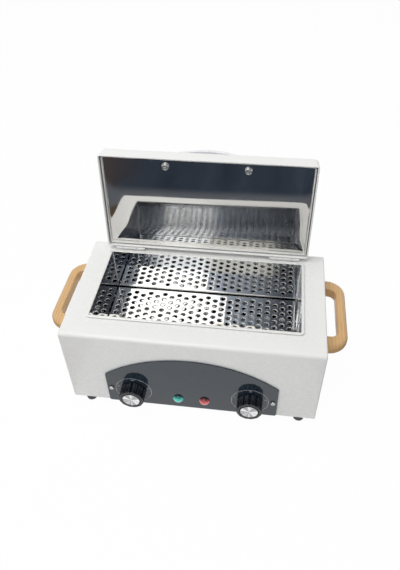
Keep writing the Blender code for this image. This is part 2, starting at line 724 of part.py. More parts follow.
def make_heater(body):
    """The U shaped element, its two wall nuts and the two rests it lies in."""
    z = TANK_FLOOR_LEVEL + ELEMENT_LEVEL
    front, back = element_places()
    radius = ELEMENT_SPACING / 2
    turn = -TANK_HALF_WIDTH + ELEMENT_END_GAP + radius
    tail = TANK_HALF_WIDTH + TANK_SHEET + ELEMENT_NUT_HEIGHT + ELEMENT_TAIL
    stud = tail + ELEMENT_STUD_LENGTH
    bend = arc((turn, CHAMBER_SET_BACK), radius, -math.pi / 2, -3 * math.pi / 2, SMALL_SIDES)
    path = [(stud, front, z), (tail, front, z), (tail, front, z)]
    path += [(x, y, z) for x, y in bend]
    path += [(tail, back, z), (tail, back, z), (stud, back, z)]
    thin, thick = ELEMENT_STUD_DIAMETER / 2, ELEMENT_DIAMETER / 2
    radii = [thin, thin] + [thick] * (len(path) - 4) + [thin, thin]
    piece("heating_element", swept_bar(path, radii, BORE_SIDES), STEEL, body)
    sideways = Matrix.Rotation(math.pi / 2, 4, "Y")
    wall = TANK_HALF_WIDTH + TANK_SHEET + SEAT_GAP
    for name, y in zip(("front", "rear"), (front, back)):
        bore = circle(ELEMENT_DIAMETER / 2 + HOLE_CLEARANCE, BORE_SIDES)
        nut = plate(circle(ELEMENT_NUT_DIAMETER / 2, 6), [bore], 0, ELEMENT_NUT_HEIGHT)
        piece(f"element_nut_{name}", nut, GREY_METAL, body, at(wall, y, z, sideways))
    half = radius + REST_MARGIN
    low = TANK_FLOOR_LEVEL + SEAT_GAP
    groove = ELEMENT_DIAMETER / 2 + SEAT_GAP
    outline = [(-half, low), (half, low), (half, z)]
    outline += arc((radius, z), groove, 0, -math.pi, SMALL_SIDES // 2)
    outline += arc((-radius, z), groove, 0, -math.pi, SMALL_SIDES // 2)
    outline.append((-half, z))
    for side, name in ((-1, "left"), (1, "right")):
        x = side * REST_SPACING / 2
        rings = [
            [(x + t, CHAMBER_SET_BACK + y, h) for y, h in outline]
            for t in (-REST_THICKNESS / 2, REST_THICKNESS / 2)
        ]
        piece(f"element_rest_{name}", loft(rings), STAINLESS, body)


def swept_bar(path, radii, sides):
    """A round bar along a flat path, where a repeated point makes a step in its radius."""
    rings = []
    for i, point in enumerate(path):
        before = next((p for p in reversed(path[:i]) if p != point), point)
        after = next((p for p in path[i + 1 :] if p != point), point)
        across = (Vector(after) - Vector(before)).normalized().cross(Vector((0, 0, 1)))
        rings.append([
            Vector(point) + across * (radii[i] * u) + Vector((0, 0, radii[i] * v))
            for u, v in circle(1, sides)
        ])
    return loft(rings)


def make_insulation(body):
    """The wool jacket round the tank, with a window at the element's wall nuts."""
    near = TANK_SHEET + SEAT_GAP
    far = near + INSULATION
    bottom = TANK_FLOOR_LEVEL - TANK_SHEET - SEAT_GAP
    top = BODY_HEIGHT - BODY_SHEET - INSULATION_TOP_GAP
    corner = RIM_CORNER - RIM_BAND + near
    rings = [
        chamber_ring(bottom - INSULATION, far, corner + INSULATION),
        chamber_ring(top, far, corner + INSULATION),
        chamber_ring(top, near, corner),
        chamber_ring(bottom, near, corner),
    ]
    jacket = piece("insulation_jacket", loft(rings), WOOL, body)
    low = bottom + INSULATION / 2
    x = TANK_HALF_WIDTH
    window = box(
        (x, CHAMBER_SET_BACK - WINDOW_DEPTH / 2, low),
        (x + far + OVERRUN, CHAMBER_SET_BACK + WINDOW_DEPTH / 2, low + WINDOW_HEIGHT),
    )
    combine(jacket, helper("jacket window", window, body), "DIFFERENCE")
    disc = CUTOUT_DIAMETER / 2
    collar = disc * math.cos(math.pi / 6)
    cutout = turned(
        [
            (0, 0),
            (disc, 0),
            (disc, CUTOUT_HEIGHT / 3),
            (collar, CUTOUT_HEIGHT / 2),
            (collar, CUTOUT_HEIGHT),
            (0, CUTOUT_HEIGHT),
        ],
        ROUND_SIDES,
    )
    place = at(
        TANK_HALF_WIDTH + TANK_SHEET + SEAT_GAP,
        CHAMBER_SET_BACK,
        TANK_FLOOR_LEVEL + CUTOUT_LEVEL,
        Matrix.Rotation(math.pi / 2, 4, "Y"),
    )
    piece("thermal_cutout", cutout, DARK_PLASTIC, body, place)
    level = SEAT_GAP + BASE_SHEET + SEAT_GAP
    block = piece(
        "terminal_block",
        prism(
            rounded_rectangle(TERMINAL_LENGTH / 2, TERMINAL_WIDTH / 2, END_BEND),
            level,
            level + TERMINAL_HEIGHT,
        ),
        CERAMIC,
        body,
        at(0, CHAMBER_SET_BACK, 0),
    )
    poles = []
    for i in range(TERMINAL_POLES):
        x = (i - (TERMINAL_POLES - 1) / 2) * TERMINAL_LENGTH / TERMINAL_POLES
        outline = circle(POLE_DIAMETER / 2, BORE_SIDES, (x, 0))
        poles.append(prism(outline, level + TERMINAL_HEIGHT / 2, level + TERMINAL_HEIGHT + POLE_HEIGHT))
    spot = at(0, CHAMBER_SET_BACK, 0)
    combine(block, helper("terminal poles", add_solids(poles), body, spot), "UNION")


def make_controls(body, knob_bodies):
    """The thermostat and the timer behind the front wall, with their shafts and knobs."""
    inside = WALL_Y - BODY_SHEET - SEAT_GAP
    nose = PANEL_FACE - inside
    half = THERMOSTAT_SIDE / 2
    outlines = {
        "thermostat": rounded_rectangle(half, half, END_BEND),
        "timer": circle(TIMER_DIAMETER / 2, ROUND_SIDES),
    }
    for (name, outline), (x, z) in zip(outlines.items(), control_places()):
        place = at(x, -inside, z, FRONT_FACING)
        unit = piece(f"{name}_unit", prism(outline, -CONTROL_DEPTH, 0), GREY_METAL, body, place)
        bush = prism(circle(BUSH_DIAMETER / 2, ROUND_SIDES), -OVERRUN, nose)
        combine(unit, helper(f"{name} bush", bush, body, place), "UNION")
        deep = nose - SHAFT_INSERT - SEAT_GAP
        bore = prism(circle(SHAFT_DIAMETER / 2 + HOLE_CLEARANCE, BORE_SIDES), deep, nose + OVERRUN)
        combine(unit, helper(f"{name} bore", bore, body, place), "DIFFERENCE")
        make_knob(name, knob_bodies[name])


def make_knob(name, carrier):
    """A fluted knob with a spun cap on its shaft, from the panel's face outwards."""
    radius = KNOB_DIAMETER / 2
    well = CAP_DIAMETER / 2 + HOLE_CLEARANCE
    points = POINTS_PER_FLUTE * KNOB_FLUTES
    def fluted(reach, z):
        ring = []
        for i in range(points):
            turn = 2 * math.pi * i / points
            dip = FLUTE_DEPTH * (1 - abs(math.sin(KNOB_FLUTES * turn / 2))) ** 2
            ring.append(((reach - dip) * math.cos(turn), (reach - dip) * math.sin(turn), z))
        return ring
    def plain(reach, z):
        return [(reach * math.cos(a), reach * math.sin(a), z)
                for a in (2 * math.pi * i / points for i in range(points))]
    bottom, top = KNOB_GAP, KNOB_GAP + KNOB_HEIGHT
    shape = loft([
        fluted(radius, bottom),
        fluted(radius, top - KNOB_CHAMFER),
        plain(radius - KNOB_CHAMFER, top),
        plain(well, top),
        plain(well, top - CAP_THICKNESS),
    ])
    knob = piece(f"{name}_knob", shape, KNOB_BLACK, carrier, FRONT_FACING)
    shaft_top = top - CAP_THICKNESS - KNOB_HEIGHT / 4
    bore = turned(
        [
            (0, bottom - OVERRUN),
            (SHAFT_DIAMETER / 2 + HOLE_CLEARANCE, bottom - OVERRUN),
            (SHAFT_DIAMETER / 2 + HOLE_CLEARANCE, shaft_top + SEAT_GAP),
            (0, shaft_top + SEAT_GAP),
        ],
        SMALL_SIDES,
    )
    combine(knob, helper(f"{name} knob bore", bore, carrier, FRONT_FACING), "DIFFERENCE")
    half = KNOB_POINTER / 2
    mark = box((-half, well + KNOB_POINTER, top - KNOB_POINTER / 2), (half, radius + OVERRUN, top + OVERRUN))
    combine(knob, helper(f"{name} pointer groove", mark, carrier, FRONT_FACING), "DIFFERENCE")
    cap_low = top - CAP_THICKNESS + SEAT_GAP
    rim = CAP_DIAMETER / 2
    cap = turned(
        [
            (0, cap_low),
            (rim, cap_low),
            (rim, top),
            (rim - CAP_DISH, top + CAP_DISH),
            (rim - 3 * CAP_DISH, top + CAP_DISH),
            (rim - 4 * CAP_DISH, top),
            (0, top + CAP_DISH / 2),
        ],
        ROUND_SIDES,
    )
    piece(f"{name}_knob_cap", cap, SPUN_ALUMINIUM, carrier, FRONT_FACING)
    shaft = turned(
        [
            (0, -SHAFT_INSERT),
            (SHAFT_DIAMETER / 2, -SHAFT_INSERT),
            (SHAFT_DIAMETER / 2, shaft_top),
            (0, shaft_top),
        ],
        SMALL_SIDES,
    )
    piece(f"{name}_shaft", shaft, STEEL, carrier, FRONT_FACING)


def make_panel(body):
    """The arched panel, its screws and the two lamps."""
    half, corner, small = PANEL_HALF_WIDTH, PANEL_CORNER, PANEL_ARCH_CORNER
    rise = PANEL_HEIGHT - PANEL_SIDE_HEIGHT
    radius = (half * half + rise * rise) / (2 * rise)
    low = PANEL_FOOT
    top = (0, PANEL_HEIGHT - radius)
    lift = math.sqrt((radius - small) ** 2 - (half - small) ** 2)
    meet = math.atan2(lift, half - small)
    outline = arc((half - corner, low + corner), corner, -math.pi / 2, 0, CORNER_STEPS)
    outline += arc((half - small, top[1] + lift), small, 0, meet, CORNER_STEPS)
    outline += arc(top, radius, meet, math.pi - meet, ROUND_SIDES)[1:-1]
    outline += arc((small - half, top[1] + lift), small, math.pi - meet, math.pi, CORNER_STEPS)
    outline += arc((corner - half, low + corner), corner, math.pi, 3 * math.pi / 2, CORNER_STEPS)
    place = at(0, -WALL_Y - SEAT_GAP, 0, FRONT_FACING)
    piece("control_panel", plate(outline, front_holes(), 0, PANEL_SHEET), PANEL_GREY, body, place)
    for (x, z), side in zip(panel_screw_places(), ("left", "right")):
        spot = at(x, -PANEL_FACE - SEAT_GAP, z, FRONT_FACING)
        screw(
            f"panel_screw_{side}", body, spot, SCREW_DIAMETER,
            SCREW_HEAD_DIAMETER, SCREW_HEAD_HEIGHT, SCREW_LENGTH,
        )
    stem = LAMP_STEM_DIAMETER / 2
    wide = LAMP_DIAMETER / 2
    inside = WALL_Y - BODY_SHEET - SEAT_GAP
    depth = PANEL_FACE - inside + SEAT_GAP
    for (x, z), (colour, lens) in zip(lamp_places(), (("green", GREEN_LENS), ("red", RED_LENS))):
        dome = [
            (wide * math.cos(t), LAMP_FLANGE + (LAMP_HEIGHT - LAMP_FLANGE) * math.sin(t))
            for t in (math.pi / 2 * i / (BEND_STEPS + 1) for i in range(1, BEND_STEPS + 1))
        ]
        profile = [(0, -depth), (stem, -depth), (stem, 0), (wide, 0), (wide, LAMP_FLANGE)]
        profile += [*dome, (0, LAMP_HEIGHT)]
        spot = at(x, -PANEL_FACE - SEAT_GAP, z, FRONT_FACING)
        piece(f"{colour}_lamp_lens", turned(profile, ROUND_SIDES), lens, body, spot)
        holder = LAMP_HOLDER_DIAMETER / 2
        shape = turned(
            [
                (0, -LAMP_HOLDER_LENGTH),
                (holder / 2, -LAMP_HOLDER_LENGTH),
                (holder / 2, -LAMP_HOLDER_LENGTH + holder / 2),
                (holder, -LAMP_HOLDER_LENGTH + holder),
                (holder, 0),
                (0, 0),
            ],
            SMALL_SIDES,
        )
        piece(f"{colour}_lamp_holder", shape, DARK_PLASTIC, body, at(x, -inside + SEAT_GAP, z, FRONT_FACING))


def handle_curve(half, reach, corner, steps):
    """One edge of a side handle in plan: out, round a corner, along, and back."""
    lead = [(0, half), ((reach - corner) / 2, half)]
    lead += arc((reach - corner, half - corner), corner, math.pi / 2, 0, steps)
    lead.append((reach, 0))
    return lead + [(x, -y) for x, y in reversed(lead[:-1])]


def make_side_handles(body):
    """The two wooden handles and the screws that hold them from inside."""
    outer = handle_curve(HANDLE_LENGTH / 2, HANDLE_REACH, HANDLE_CORNER, HANDLE_STEPS)
    inner = handle_curve(SLOT_LENGTH / 2, SLOT_DEPTH, SLOT_CORNER, HANDLE_STEPS)
    high = HANDLE_THICKNESS / 2
    for side, name in ((-1, "left"), (1, "right")):
        rings = []
        for (ox, oy), (ix, iy) in zip(outer, inner):
            way = Vector((ix - ox, iy - oy))
            wide = way.length
            way.normalize()
            ring = []
            for depth, z in handle_section(wide, high):
                ring.append((side * (ox + way.x * depth), oy + way.y * depth, z))
            rings.append(ring)
        place = at(side * (WALL_X + SEAT_GAP), HANDLE_SET_BACK, HANDLE_LEVEL)
        handle = piece(f"side_handle_{name}", loft(rings), WOOD, body, place)
        sideways = Matrix.Rotation(side * math.pi / 2, 4, "Y")
        bores = []
        for y in handle_screw_places():
            outline = circle(HANDLE_SCREW_DIAMETER / 2 + HOLE_CLEARANCE, BORE_SIDES, (0, y))
            bores.append(prism(outline, -OVERRUN, HANDLE_SCREW_BITE + SEAT_GAP))
        wall = at(side * WALL_X, 0, HANDLE_LEVEL, sideways)
        combine(handle, helper(f"{name} handle bores", add_solids(bores), body, wall), "DIFFERENCE")
        inwards = Matrix.Rotation(-side * math.pi / 2, 4, "Y")
        for y, end in zip(handle_screw_places(), ("front", "rear")):
            spot = at(side * (WALL_X - BODY_SHEET - SEAT_GAP), y, HANDLE_LEVEL, inwards)
            length = BODY_SHEET + SEAT_GAP + HANDLE_SCREW_BITE
            screw(
                f"handle_screw_{name}_{end}", body, spot, HANDLE_SCREW_DIAMETER,
                HANDLE_SCREW_HEAD_DIAMETER, SCREW_HEAD_HEIGHT, length, crossed=False,
            )


def handle_section(wide, high):
    """The section of a side handle from its outer edge inwards, as (depth, height)."""
    outer, inner = HANDLE_EDGE, SLOT_EDGE
    quarter = math.pi / 2
    points = arc((outer, high - outer), outer, 2 * quarter, quarter, BEND_STEPS)
    points += arc((wide - inner, high - inner), inner, quarter, 0, 1)
    points += arc((wide - inner, inner - high), inner, 0, -quarter, 1)
    points += arc((outer, outer - high), outer, -quarter, -2 * quarter, BEND_STEPS)
    return points


def lid_ring(z, inset, corner):
    """An outline round the lid at one height, drawn in from its outer wall."""
    outline = rounded_rectangle(
        LID_HALF_WIDTH - inset, LID_HALF_DEPTH - inset, corner, (0, LID_MIDDLE)
    )
    return [(x, y, z) for x, y in outline]


def lid_screw_places():
    """X and Y of the handle's screws in the lid."""
    return [(side * LID_HANDLE_SPAN / 2, LID_SCREW_Y) for side in (-1, 1)]


def make_lid(lid):
    """The lid's shell, pad and mirror liner."""
    shoulder = LID_TOP - LID_TOP_ROUND
    outside = [lid_ring(LID_RIM, 0, LID_RIM_CORNER)]
    lip_top = LID_RIM + LID_LIP_HEIGHT
    inside = [
        lid_ring(LID_RIM, LID_LIP, LID_RIM_CORNER - LID_SHEET),
        lid_ring(lip_top, LID_LIP, LID_RIM_CORNER - LID_SHEET),
        lid_ring(lip_top, LID_SHEET, LID_RIM_CORNER - LID_SHEET),
    ]
    for i in range(BEND_STEPS + 1):
        turn = math.pi / 2 * i / BEND_STEPS
        inset = LID_TOP_ROUND * (1 - math.cos(turn))
        rise = shoulder + LID_TOP_ROUND * math.sin(turn)
        outside.append(lid_ring(rise, inset, LID_TOP_CORNER - inset))
    inner_round = LID_TOP_ROUND - LID_SHEET
    for i in range(BEND_STEPS + 1):
        turn = math.pi / 2 * i / BEND_STEPS
        inset = inner_round * (1 - math.cos(turn))
        rise = shoulder + inner_round * math.sin(turn)
        inside.append(lid_ring(rise, LID_SHEET + inset, LID_TOP_CORNER - LID_SHEET - inset))
    shell = piece("lid_shell", loft(inside[::-1] + outside), WHITE_PAINT, lid)
    ways = [circle(LID_SCREW_DIAMETER / 2 + HOLE_CLEARANCE, BORE_SIDES, p) for p in lid_screw_places()]
    through = add_solids([prism(way, LINER_FACE - OVERRUN, LID_TOP + OVERRUN) for way in ways])
    bores = helper("lid screw bores", through, lid)
    combine(shell, bores, "DIFFERENCE")

    edge = LID_LIP + LINER_SIDE_GAP
    low = LID_RIM + LINER_HEM_DROP
    back = LINER_FACE + LINER_SHEET
    liner = loft([
        lid_ring(back, edge, LINER_CORNER),
        lid_ring(low, edge, LINER_CORNER),
        lid_ring(low, edge + LINER_HEM, LINER_CORNER / 2),
        lid_ring(LINER_FACE, edge + LINER_HEM, LINER_CORNER / 2),
    ])
    combine(piece("lid_liner", liner, MIRROR, lid), bores, "DIFFERENCE")
    inset = LID_SHEET + PAD_MARGIN
    pad = loft([
        lid_ring(back + SEAT_GAP, inset, LID_TOP_CORNER),
        lid_ring(LID_TOP - LID_SHEET - SEAT_GAP, inset, LID_TOP_CORNER),
    ])
    combine(piece("lid_pad", pad, WOOL, lid), bores, "DIFFERENCE")


def make_lid_handle(lid):
    """The arched handle on the lid's outer face, with its two long screws."""
    span = LID_HANDLE_SPAN / 2
    end = span + LID_HANDLE_END
    crest = span + LID_HANDLE_END / 2
    base = LID_TOP + SEAT_GAP
    half = LID_HANDLE_WIDTH / 2
    steps = ROUND_SIDES
    rings = []
    for i in range(steps + 1):
        x = -end + 2 * end * i / steps
        swell = ((1 + math.cos(math.pi * min(abs(x) / crest, 1))) / 2) ** LID_HANDLE_FULLNESS
        top = LID_HANDLE_FOOT + (LID_HANDLE_RISE - LID_HANDLE_FOOT) * swell
        bottom = max(0.0, top - LID_HANDLE_GRIP)
        narrow = half * (1 - ((abs(x) - span) / LID_HANDLE_END) ** 2 / 2 if abs(x) > span else 1)
        corner = min(top - bottom, narrow) / 2
        outline = arc((narrow - corner, top - corner), corner, 0, math.pi / 2, CORNER_STEPS)
        outline += arc((corner - narrow, top - corner), corner, math.pi / 2, math.pi, CORNER_STEPS)
        small = corner / 4
        outline += arc((small - narrow, bottom + small), small, math.pi, 3 * math.pi / 2, 1)
        outline += arc((narrow - small, bottom + small), small, -math.pi / 2, 0, 1)
        rings.append([(x, LID_SCREW_Y + y, base + z) for y, z in outline])
    handle = piece("lid_handle", loft(rings), HANDLE_PLASTIC, lid)
    ways = [circle(LID_SCREW_DIAMETER / 2 + HOLE_CLEARANCE, BORE_SIDES, p) for p in lid_screw_places()]
    reach = base + LID_SCREW_BITE + SEAT_GAP
    through = add_solids([prism(way, base - OVERRUN, reach) for way in ways])
    combine(handle, helper("lid handle bores", through, lid), "DIFFERENCE")
    length = LID_TOP - LINER_FACE + LID_SCREW_BITE + SEAT_GAP
    for (x, y), name in zip(lid_screw_places(), ("left", "right")):
        spot = at(x, y, LINER_FACE - SEAT_GAP, Matrix.Rotation(math.pi, 4, "X"))
        screw(
            f"lid_handle_screw_{name}", lid, spot, LID_SCREW_DIAMETER,
            LID_SCREW_HEAD_DIAMETER, LID_SCREW_HEAD_HEIGHT, length,
        )


def leaf_outline(length, stop):
    """A hinge leaf with its knuckle round the origin: the leaf runs along +U, under the axis."""
    radius = KNUCKLE_RADIUS
    top = LEAF_THICKNESS - radius
    meet = math.sqrt(radius * radius - top * top)
    start = math.atan2(top, meet)
    outline = arc((0, 0), radius, start, 3 * math.pi / 2, SMALL_SIDES)
    outline.append((length, -radius))
    if stop > 0:
        outline += [(length, top + stop), (length - STOP_WIDTH, top + stop), (length - STOP_WIDTH, top)]
    else:
        outline.append((length, top))
    return outline


def leaf_shape(length, stop, swap):
    """A leaf across the hinge's whole length, with the pin's bore through its knuckle."""
    bore = circle(PIN_BORE, BORE_SIDES)
    shape = plate(leaf_outline(length, stop), [bore], -HINGE_LENGTH / 2, HINGE_LENGTH / 2)
    for corner in shape.verts:
        u, v, x = corner.co
        corner.co = (x, v, u) if swap else (x, u, v)
    return shape


def make_hinges(body, lid):
    """Two hinges of three knuckles, with the stop that the open lid leans on."""
    clear = KNUCKLE_RADIUS + SEAT_GAP
    middle = HINGE_MIDDLE / 2 + KNUCKLE_GAP
    turn = LID_OPEN_ANGLE
    reach = BODY_LEAF_LENGTH - STOP_WIDTH
    under = (KNUCKLE_RADIUS - LEAF_THICKNESS - reach * -math.cos(turn)) / math.sin(turn)
    stop = under - SEAT_GAP - (LEAF_THICKNESS - KNUCKLE_RADIUS)
    for side, name in ((-1, "left"), (1, "right")):
        x = side * HINGE_X
        here = at(x, HINGE_Y, HINGE_Z)
        leaf = piece(
            f"hinge_body_leaf_{name}", leaf_shape(BODY_LEAF_LENGTH, stop, False), WHITE_PAINT, body, here
        )
        room = box((-middle, -clear - OVERRUN, -clear), (middle, clear, clear))
        combine(leaf, helper(f"{name} body leaf room", room, body, here), "DIFFERENCE")
        leaf = piece(
            f"hinge_lid_leaf_{name}", leaf_shape(LID_LEAF_LENGTH, 0, True), WHITE_PAINT, lid, at(x, 0, 0)
        )
        rooms = [
            box((HINGE_MIDDLE / 2, -clear, -clear), (HINGE_LENGTH / 2 + OVERRUN, clear, clear)),
            box((-HINGE_LENGTH / 2 - OVERRUN, -clear, -clear), (-HINGE_MIDDLE / 2, clear, clear)),
        ]
        combine(leaf, helper(f"{name} lid leaf rooms", add_solids(rooms), lid, at(x, 0, 0)), "DIFFERENCE")
        head = KNUCKLE_RADIUS * math.cos(math.pi / 6)
        half = HINGE_LENGTH / 2 + SEAT_GAP
        pin = turned(
            [
                (0, -half - PIN_RADIUS),
                (head, -half - PIN_RADIUS),
                (head, -half),
                (PIN_RADIUS, -half),
                (PIN_RADIUS, half),
                (0, half),
            ],
            SMALL_SIDES,
        )
        lying = Matrix.Rotation(side * math.pi / 2, 4, "Y")
        piece(f"hinge_pin_{name}", pin, STEEL, body, at(x, HINGE_Y, HINGE_Z, lying))


def make_inlet(body):
    """The power inlet in the rear wall, seen from behind, with its two screws."""
    place = at(INLET_X, WALL_Y + SEAT_GAP, INLET_LEVEL, REAR_FACING)
    holes = [
        circle(SCREW_DIAMETER / 2 + HOLE_CLEARANCE, BORE_SIDES, (side * INLET_SCREW_SPACING / 2, 0))
        for side in (-1, 1)
    ]
    flange = rounded_rectangle(INLET_FLANGE_WIDTH / 2, INLET_FLANGE_HEIGHT / 2, INLET_CHAMFER)
    inlet = piece("power_inlet", plate(flange, holes, 0, INLET_FLANGE), DARK_PLASTIC, body, place)
    half_x, half_y = INLET_BODY_WIDTH / 2, INLET_BODY_HEIGHT / 2
    shroud = prism(
        rounded_rectangle(half_x, half_y, INLET_WALL), -INLET_BODY_DEPTH, INLET_FLANGE / 2
    )
    combine(inlet, helper("inlet shroud", shroud, body, place), "UNION")
    in_x, in_y, cut = half_x - INLET_WALL, half_y - INLET_WALL, INLET_CHAMFER
    outline = [(-in_x, -in_y), (in_x, -in_y), (in_x, in_y - cut), (in_x - cut, in_y)]
    outline += [(cut - in_x, in_y), (-in_x, in_y - cut)]
    floor = INLET_FLANGE - INLET_RECESS
    well = prism(outline, floor, INLET_FLANGE + OVERRUN)
    combine(inlet, helper("inlet well", well, body, place), "DIFFERENCE")
    blades = []
    for column, rise in ((-1, -BLADE_RISE), (0, BLADE_RISE), (1, -BLADE_RISE)):
        low = (column * BLADE_SPACING - BLADE_WIDTH / 2, rise - BLADE_HEIGHT / 2, floor - INLET_WALL / 2)
        high = (low[0] + BLADE_WIDTH, low[1] + BLADE_HEIGHT, floor + BLADE_LENGTH)
        blades.append(box(low, high))
    combine(inlet, helper("inlet blades", add_solids(blades), body, place), "UNION")
    for side, name in ((1, "left"), (-1, "right")):
        x = INLET_X - side * INLET_SCREW_SPACING / 2
        spot = at(x, WALL_Y + 2 * SEAT_GAP + INLET_FLANGE, INLET_LEVEL, REAR_FACING)
        screw(
            f"inlet_screw_{name}", body, spot, SCREW_DIAMETER,
            SCREW_HEAD_DIAMETER, SCREW_HEAD_HEIGHT, SCREW_LENGTH,
        )


def complete(body):
    """Applies the Booleans, shades each piece, and centres the bounding box over the origin."""
    graph = bpy.context.evaluated_depsgraph_get()
    solids = [thing for thing in bpy.data.objects if thing.type == "MESH" and not thing.hide_render]
    meshes = [bpy.data.meshes.new_from_object(thing.evaluated_get(graph)) for thing in solids]
    reach = []
    for thing, mesh in zip(solids, meshes):
        thing.modifiers.clear()
        thing.data = mesh
        mesh.shade_smooth()
        mesh.set_sharp_from_angle(angle=SMOOTH_ANGLE)
        even = thing.modifiers.new("even shading", "WEIGHTED_NORMAL")
        even.keep_sharp = True
        reach += [(thing.matrix_world @ corner.co).y for corner in mesh.vertices]
    body.location.y -= (min(reach) + max(reach)) / 2
    for thing in [thing for thing in bpy.data.objects if thing.hide_render]:
        bpy.data.objects.remove(thing)


def main():
    """Builds the whole sterilizer."""
    body = empty("body", at=(0, 0, FOOT_HEIGHT))
    lid = empty("lid", body, (0, HINGE_Y, HINGE_Z), (-LID_OPEN_ANGLE, 0, 0))
    knobs = {
        name: empty(f"{name}_axis", body, (x, -PANEL_FACE, z))
        for name, (x, z) in zip(("thermostat", "timer"), control_places())
    }
    make_casing(body)
    make_base(body)
    make_chamber(body)
    make_heater(body)
    make_insulation(body)
    make_controls(body, knobs)
    make_panel(body)
    make_side_handles(body)
    make_lid(lid)
    make_lid_handle(lid)
    make_hinges(body, lid)
    make_inlet(body)
    complete(body)


main()
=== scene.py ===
"""Looks of a dry heat sterilizer for the bench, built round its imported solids.

Every piece is made in metres in the same frame as the solids, +Z up and the
front towards -Y. Body pieces are laid out from the middle of the casing's lower
edge, and lid pieces from the hinge axis, as they lie with the lid shut.
"""

import sys

import logging
import math
from dataclasses import dataclass, field
from enum import Enum
from typing import Any, Callable, Iterable, Sequence

import bmesh
import bpy
from mathutils import Matrix, Vector, noise


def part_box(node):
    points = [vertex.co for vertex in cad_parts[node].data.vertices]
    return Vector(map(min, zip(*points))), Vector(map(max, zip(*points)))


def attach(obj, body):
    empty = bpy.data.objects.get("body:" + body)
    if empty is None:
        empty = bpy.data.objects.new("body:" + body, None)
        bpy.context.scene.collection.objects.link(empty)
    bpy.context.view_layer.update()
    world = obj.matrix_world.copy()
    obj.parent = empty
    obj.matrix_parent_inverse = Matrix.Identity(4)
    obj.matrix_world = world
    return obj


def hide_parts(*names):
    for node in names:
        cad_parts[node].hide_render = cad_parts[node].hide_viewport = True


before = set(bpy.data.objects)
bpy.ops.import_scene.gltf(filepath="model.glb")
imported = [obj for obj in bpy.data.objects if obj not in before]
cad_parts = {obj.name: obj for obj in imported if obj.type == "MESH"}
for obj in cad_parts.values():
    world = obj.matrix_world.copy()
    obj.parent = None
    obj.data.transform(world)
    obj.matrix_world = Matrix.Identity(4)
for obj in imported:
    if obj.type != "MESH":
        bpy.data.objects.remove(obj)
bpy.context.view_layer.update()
LOG = logging.getLogger("sterilizer")

Point = tuple[float, float]
Colour = tuple[float, float, float]
FRONT_FACING = Matrix.Rotation(math.pi / 2, 4, "X")
REAR_FACING = Matrix.Rotation(math.pi, 4, "Z") @ FRONT_FACING
SMOOTH_ANGLE = math.radians(35)
DUST: Colour = (0.60, 0.58, 0.54)


# Outlines


def turns(steps: int, start: float = 0.0, end: float = math.pi / 2) -> list[float]:
    """Angles from a start to an end in even steps, both ends included."""
    return [start + (end - start) * i / steps for i in range(steps + 1)]


def pair(spacing: float, level: float, middle: float = 0.0) -> list[Point]:
    """A left and a right spot at one level."""
    return [(middle + side * spacing / 2, level) for side in (-1, 1)]


def at(x: float = 0.0, y: float = 0.0, z: float = 0.0) -> Matrix:
    """A move without a turn."""
    return Matrix.Translation((x, y, z))


def arc(centre: Point, radius: float, start: float, end: float, steps: int) -> list[Point]:
    """Points on a circular arc, both ends included.

    Args:
        centre: The middle of the circle.
        radius: Its radius.
        start: The first angle, in radians.
        end: The last angle, in radians.
        steps: How many straight steps the arc is drawn with.

    Returns:
        The points in order.
    """
    angles = turns(steps, start, end)
    return [(centre[0] + radius * math.cos(a), centre[1] + radius * math.sin(a)) for a in angles]


def rounded_rectangle(
    half_x: float, half_y: float, corner: float, centre: Point = (0.0, 0.0), steps: int = 8
) -> list[Point]:
    """An outline with four round corners, anticlockwise.

    Args:
        half_x: Half its width.
        half_y: Half its height.
        corner: The radius of its corners.
        centre: Its middle.
        steps: Straight steps in each corner.

    Returns:
        The points in order.
    """
    points: list[Point] = []
    for quarter, (sx, sy) in enumerate(((1, 1), (-1, 1), (-1, -1), (1, -1))):
        middle = (centre[0] + sx * (half_x - corner), centre[1] + sy * (half_y - corner))
        points += arc(middle, corner, quarter * math.pi / 2, (quarter + 1) * math.pi / 2, steps)
    return points


def circle(radius: float, sides: int, centre: Point = (0.0, 0.0)) -> list[Point]:
    """A regular outline whose corners lie on the circle.

    Args:
        radius: The circle's radius.
        sides: How many sides it is drawn with.
        centre: Its middle.

    Returns:
        The points, anticlockwise.
    """
    return arc(centre, radius, 0.0, 2 * math.pi * (sides - 1) / sides, sides - 1)


def slot(length: float, width: float, centre: Point) -> list[Point]:
    """An upright outline with round ends.

    Args:
        length: Its whole height.
        width: Its width.
        centre: Its middle.

    Returns:
        The points, anticlockwise.
    """
    half = (length - width) / 2
    top = arc((centre[0], centre[1] + half), width / 2, 0, math.pi, 8)
    return top + arc((centre[0], centre[1] - half), width / 2, math.pi, 2 * math.pi, 8)


def rectangle(across: Point, along: Point, height: float) -> list[Vector]:
    """A level rectangle's corners, from its two spans along X and Y."""
    (x0, x1), (y0, y1) = across, along
    return raised([(x0, y0), (x1, y0), (x1, y1), (x0, y1)], height)


def upright(across: Point, levels: Point, depth: float) -> list[Vector]:
    """An upright rectangle's corners, from its spans along X and Z."""
    return [Vector((corner.x, depth, corner.y)) for corner in rectangle(across, levels, 0.0)]


def raised(outline: Iterable[Point], height: float) -> list[Vector]:
    """An outline in XY lifted to one height."""
    return [Vector((x, y, height)) for x, y in outline]


# Meshes


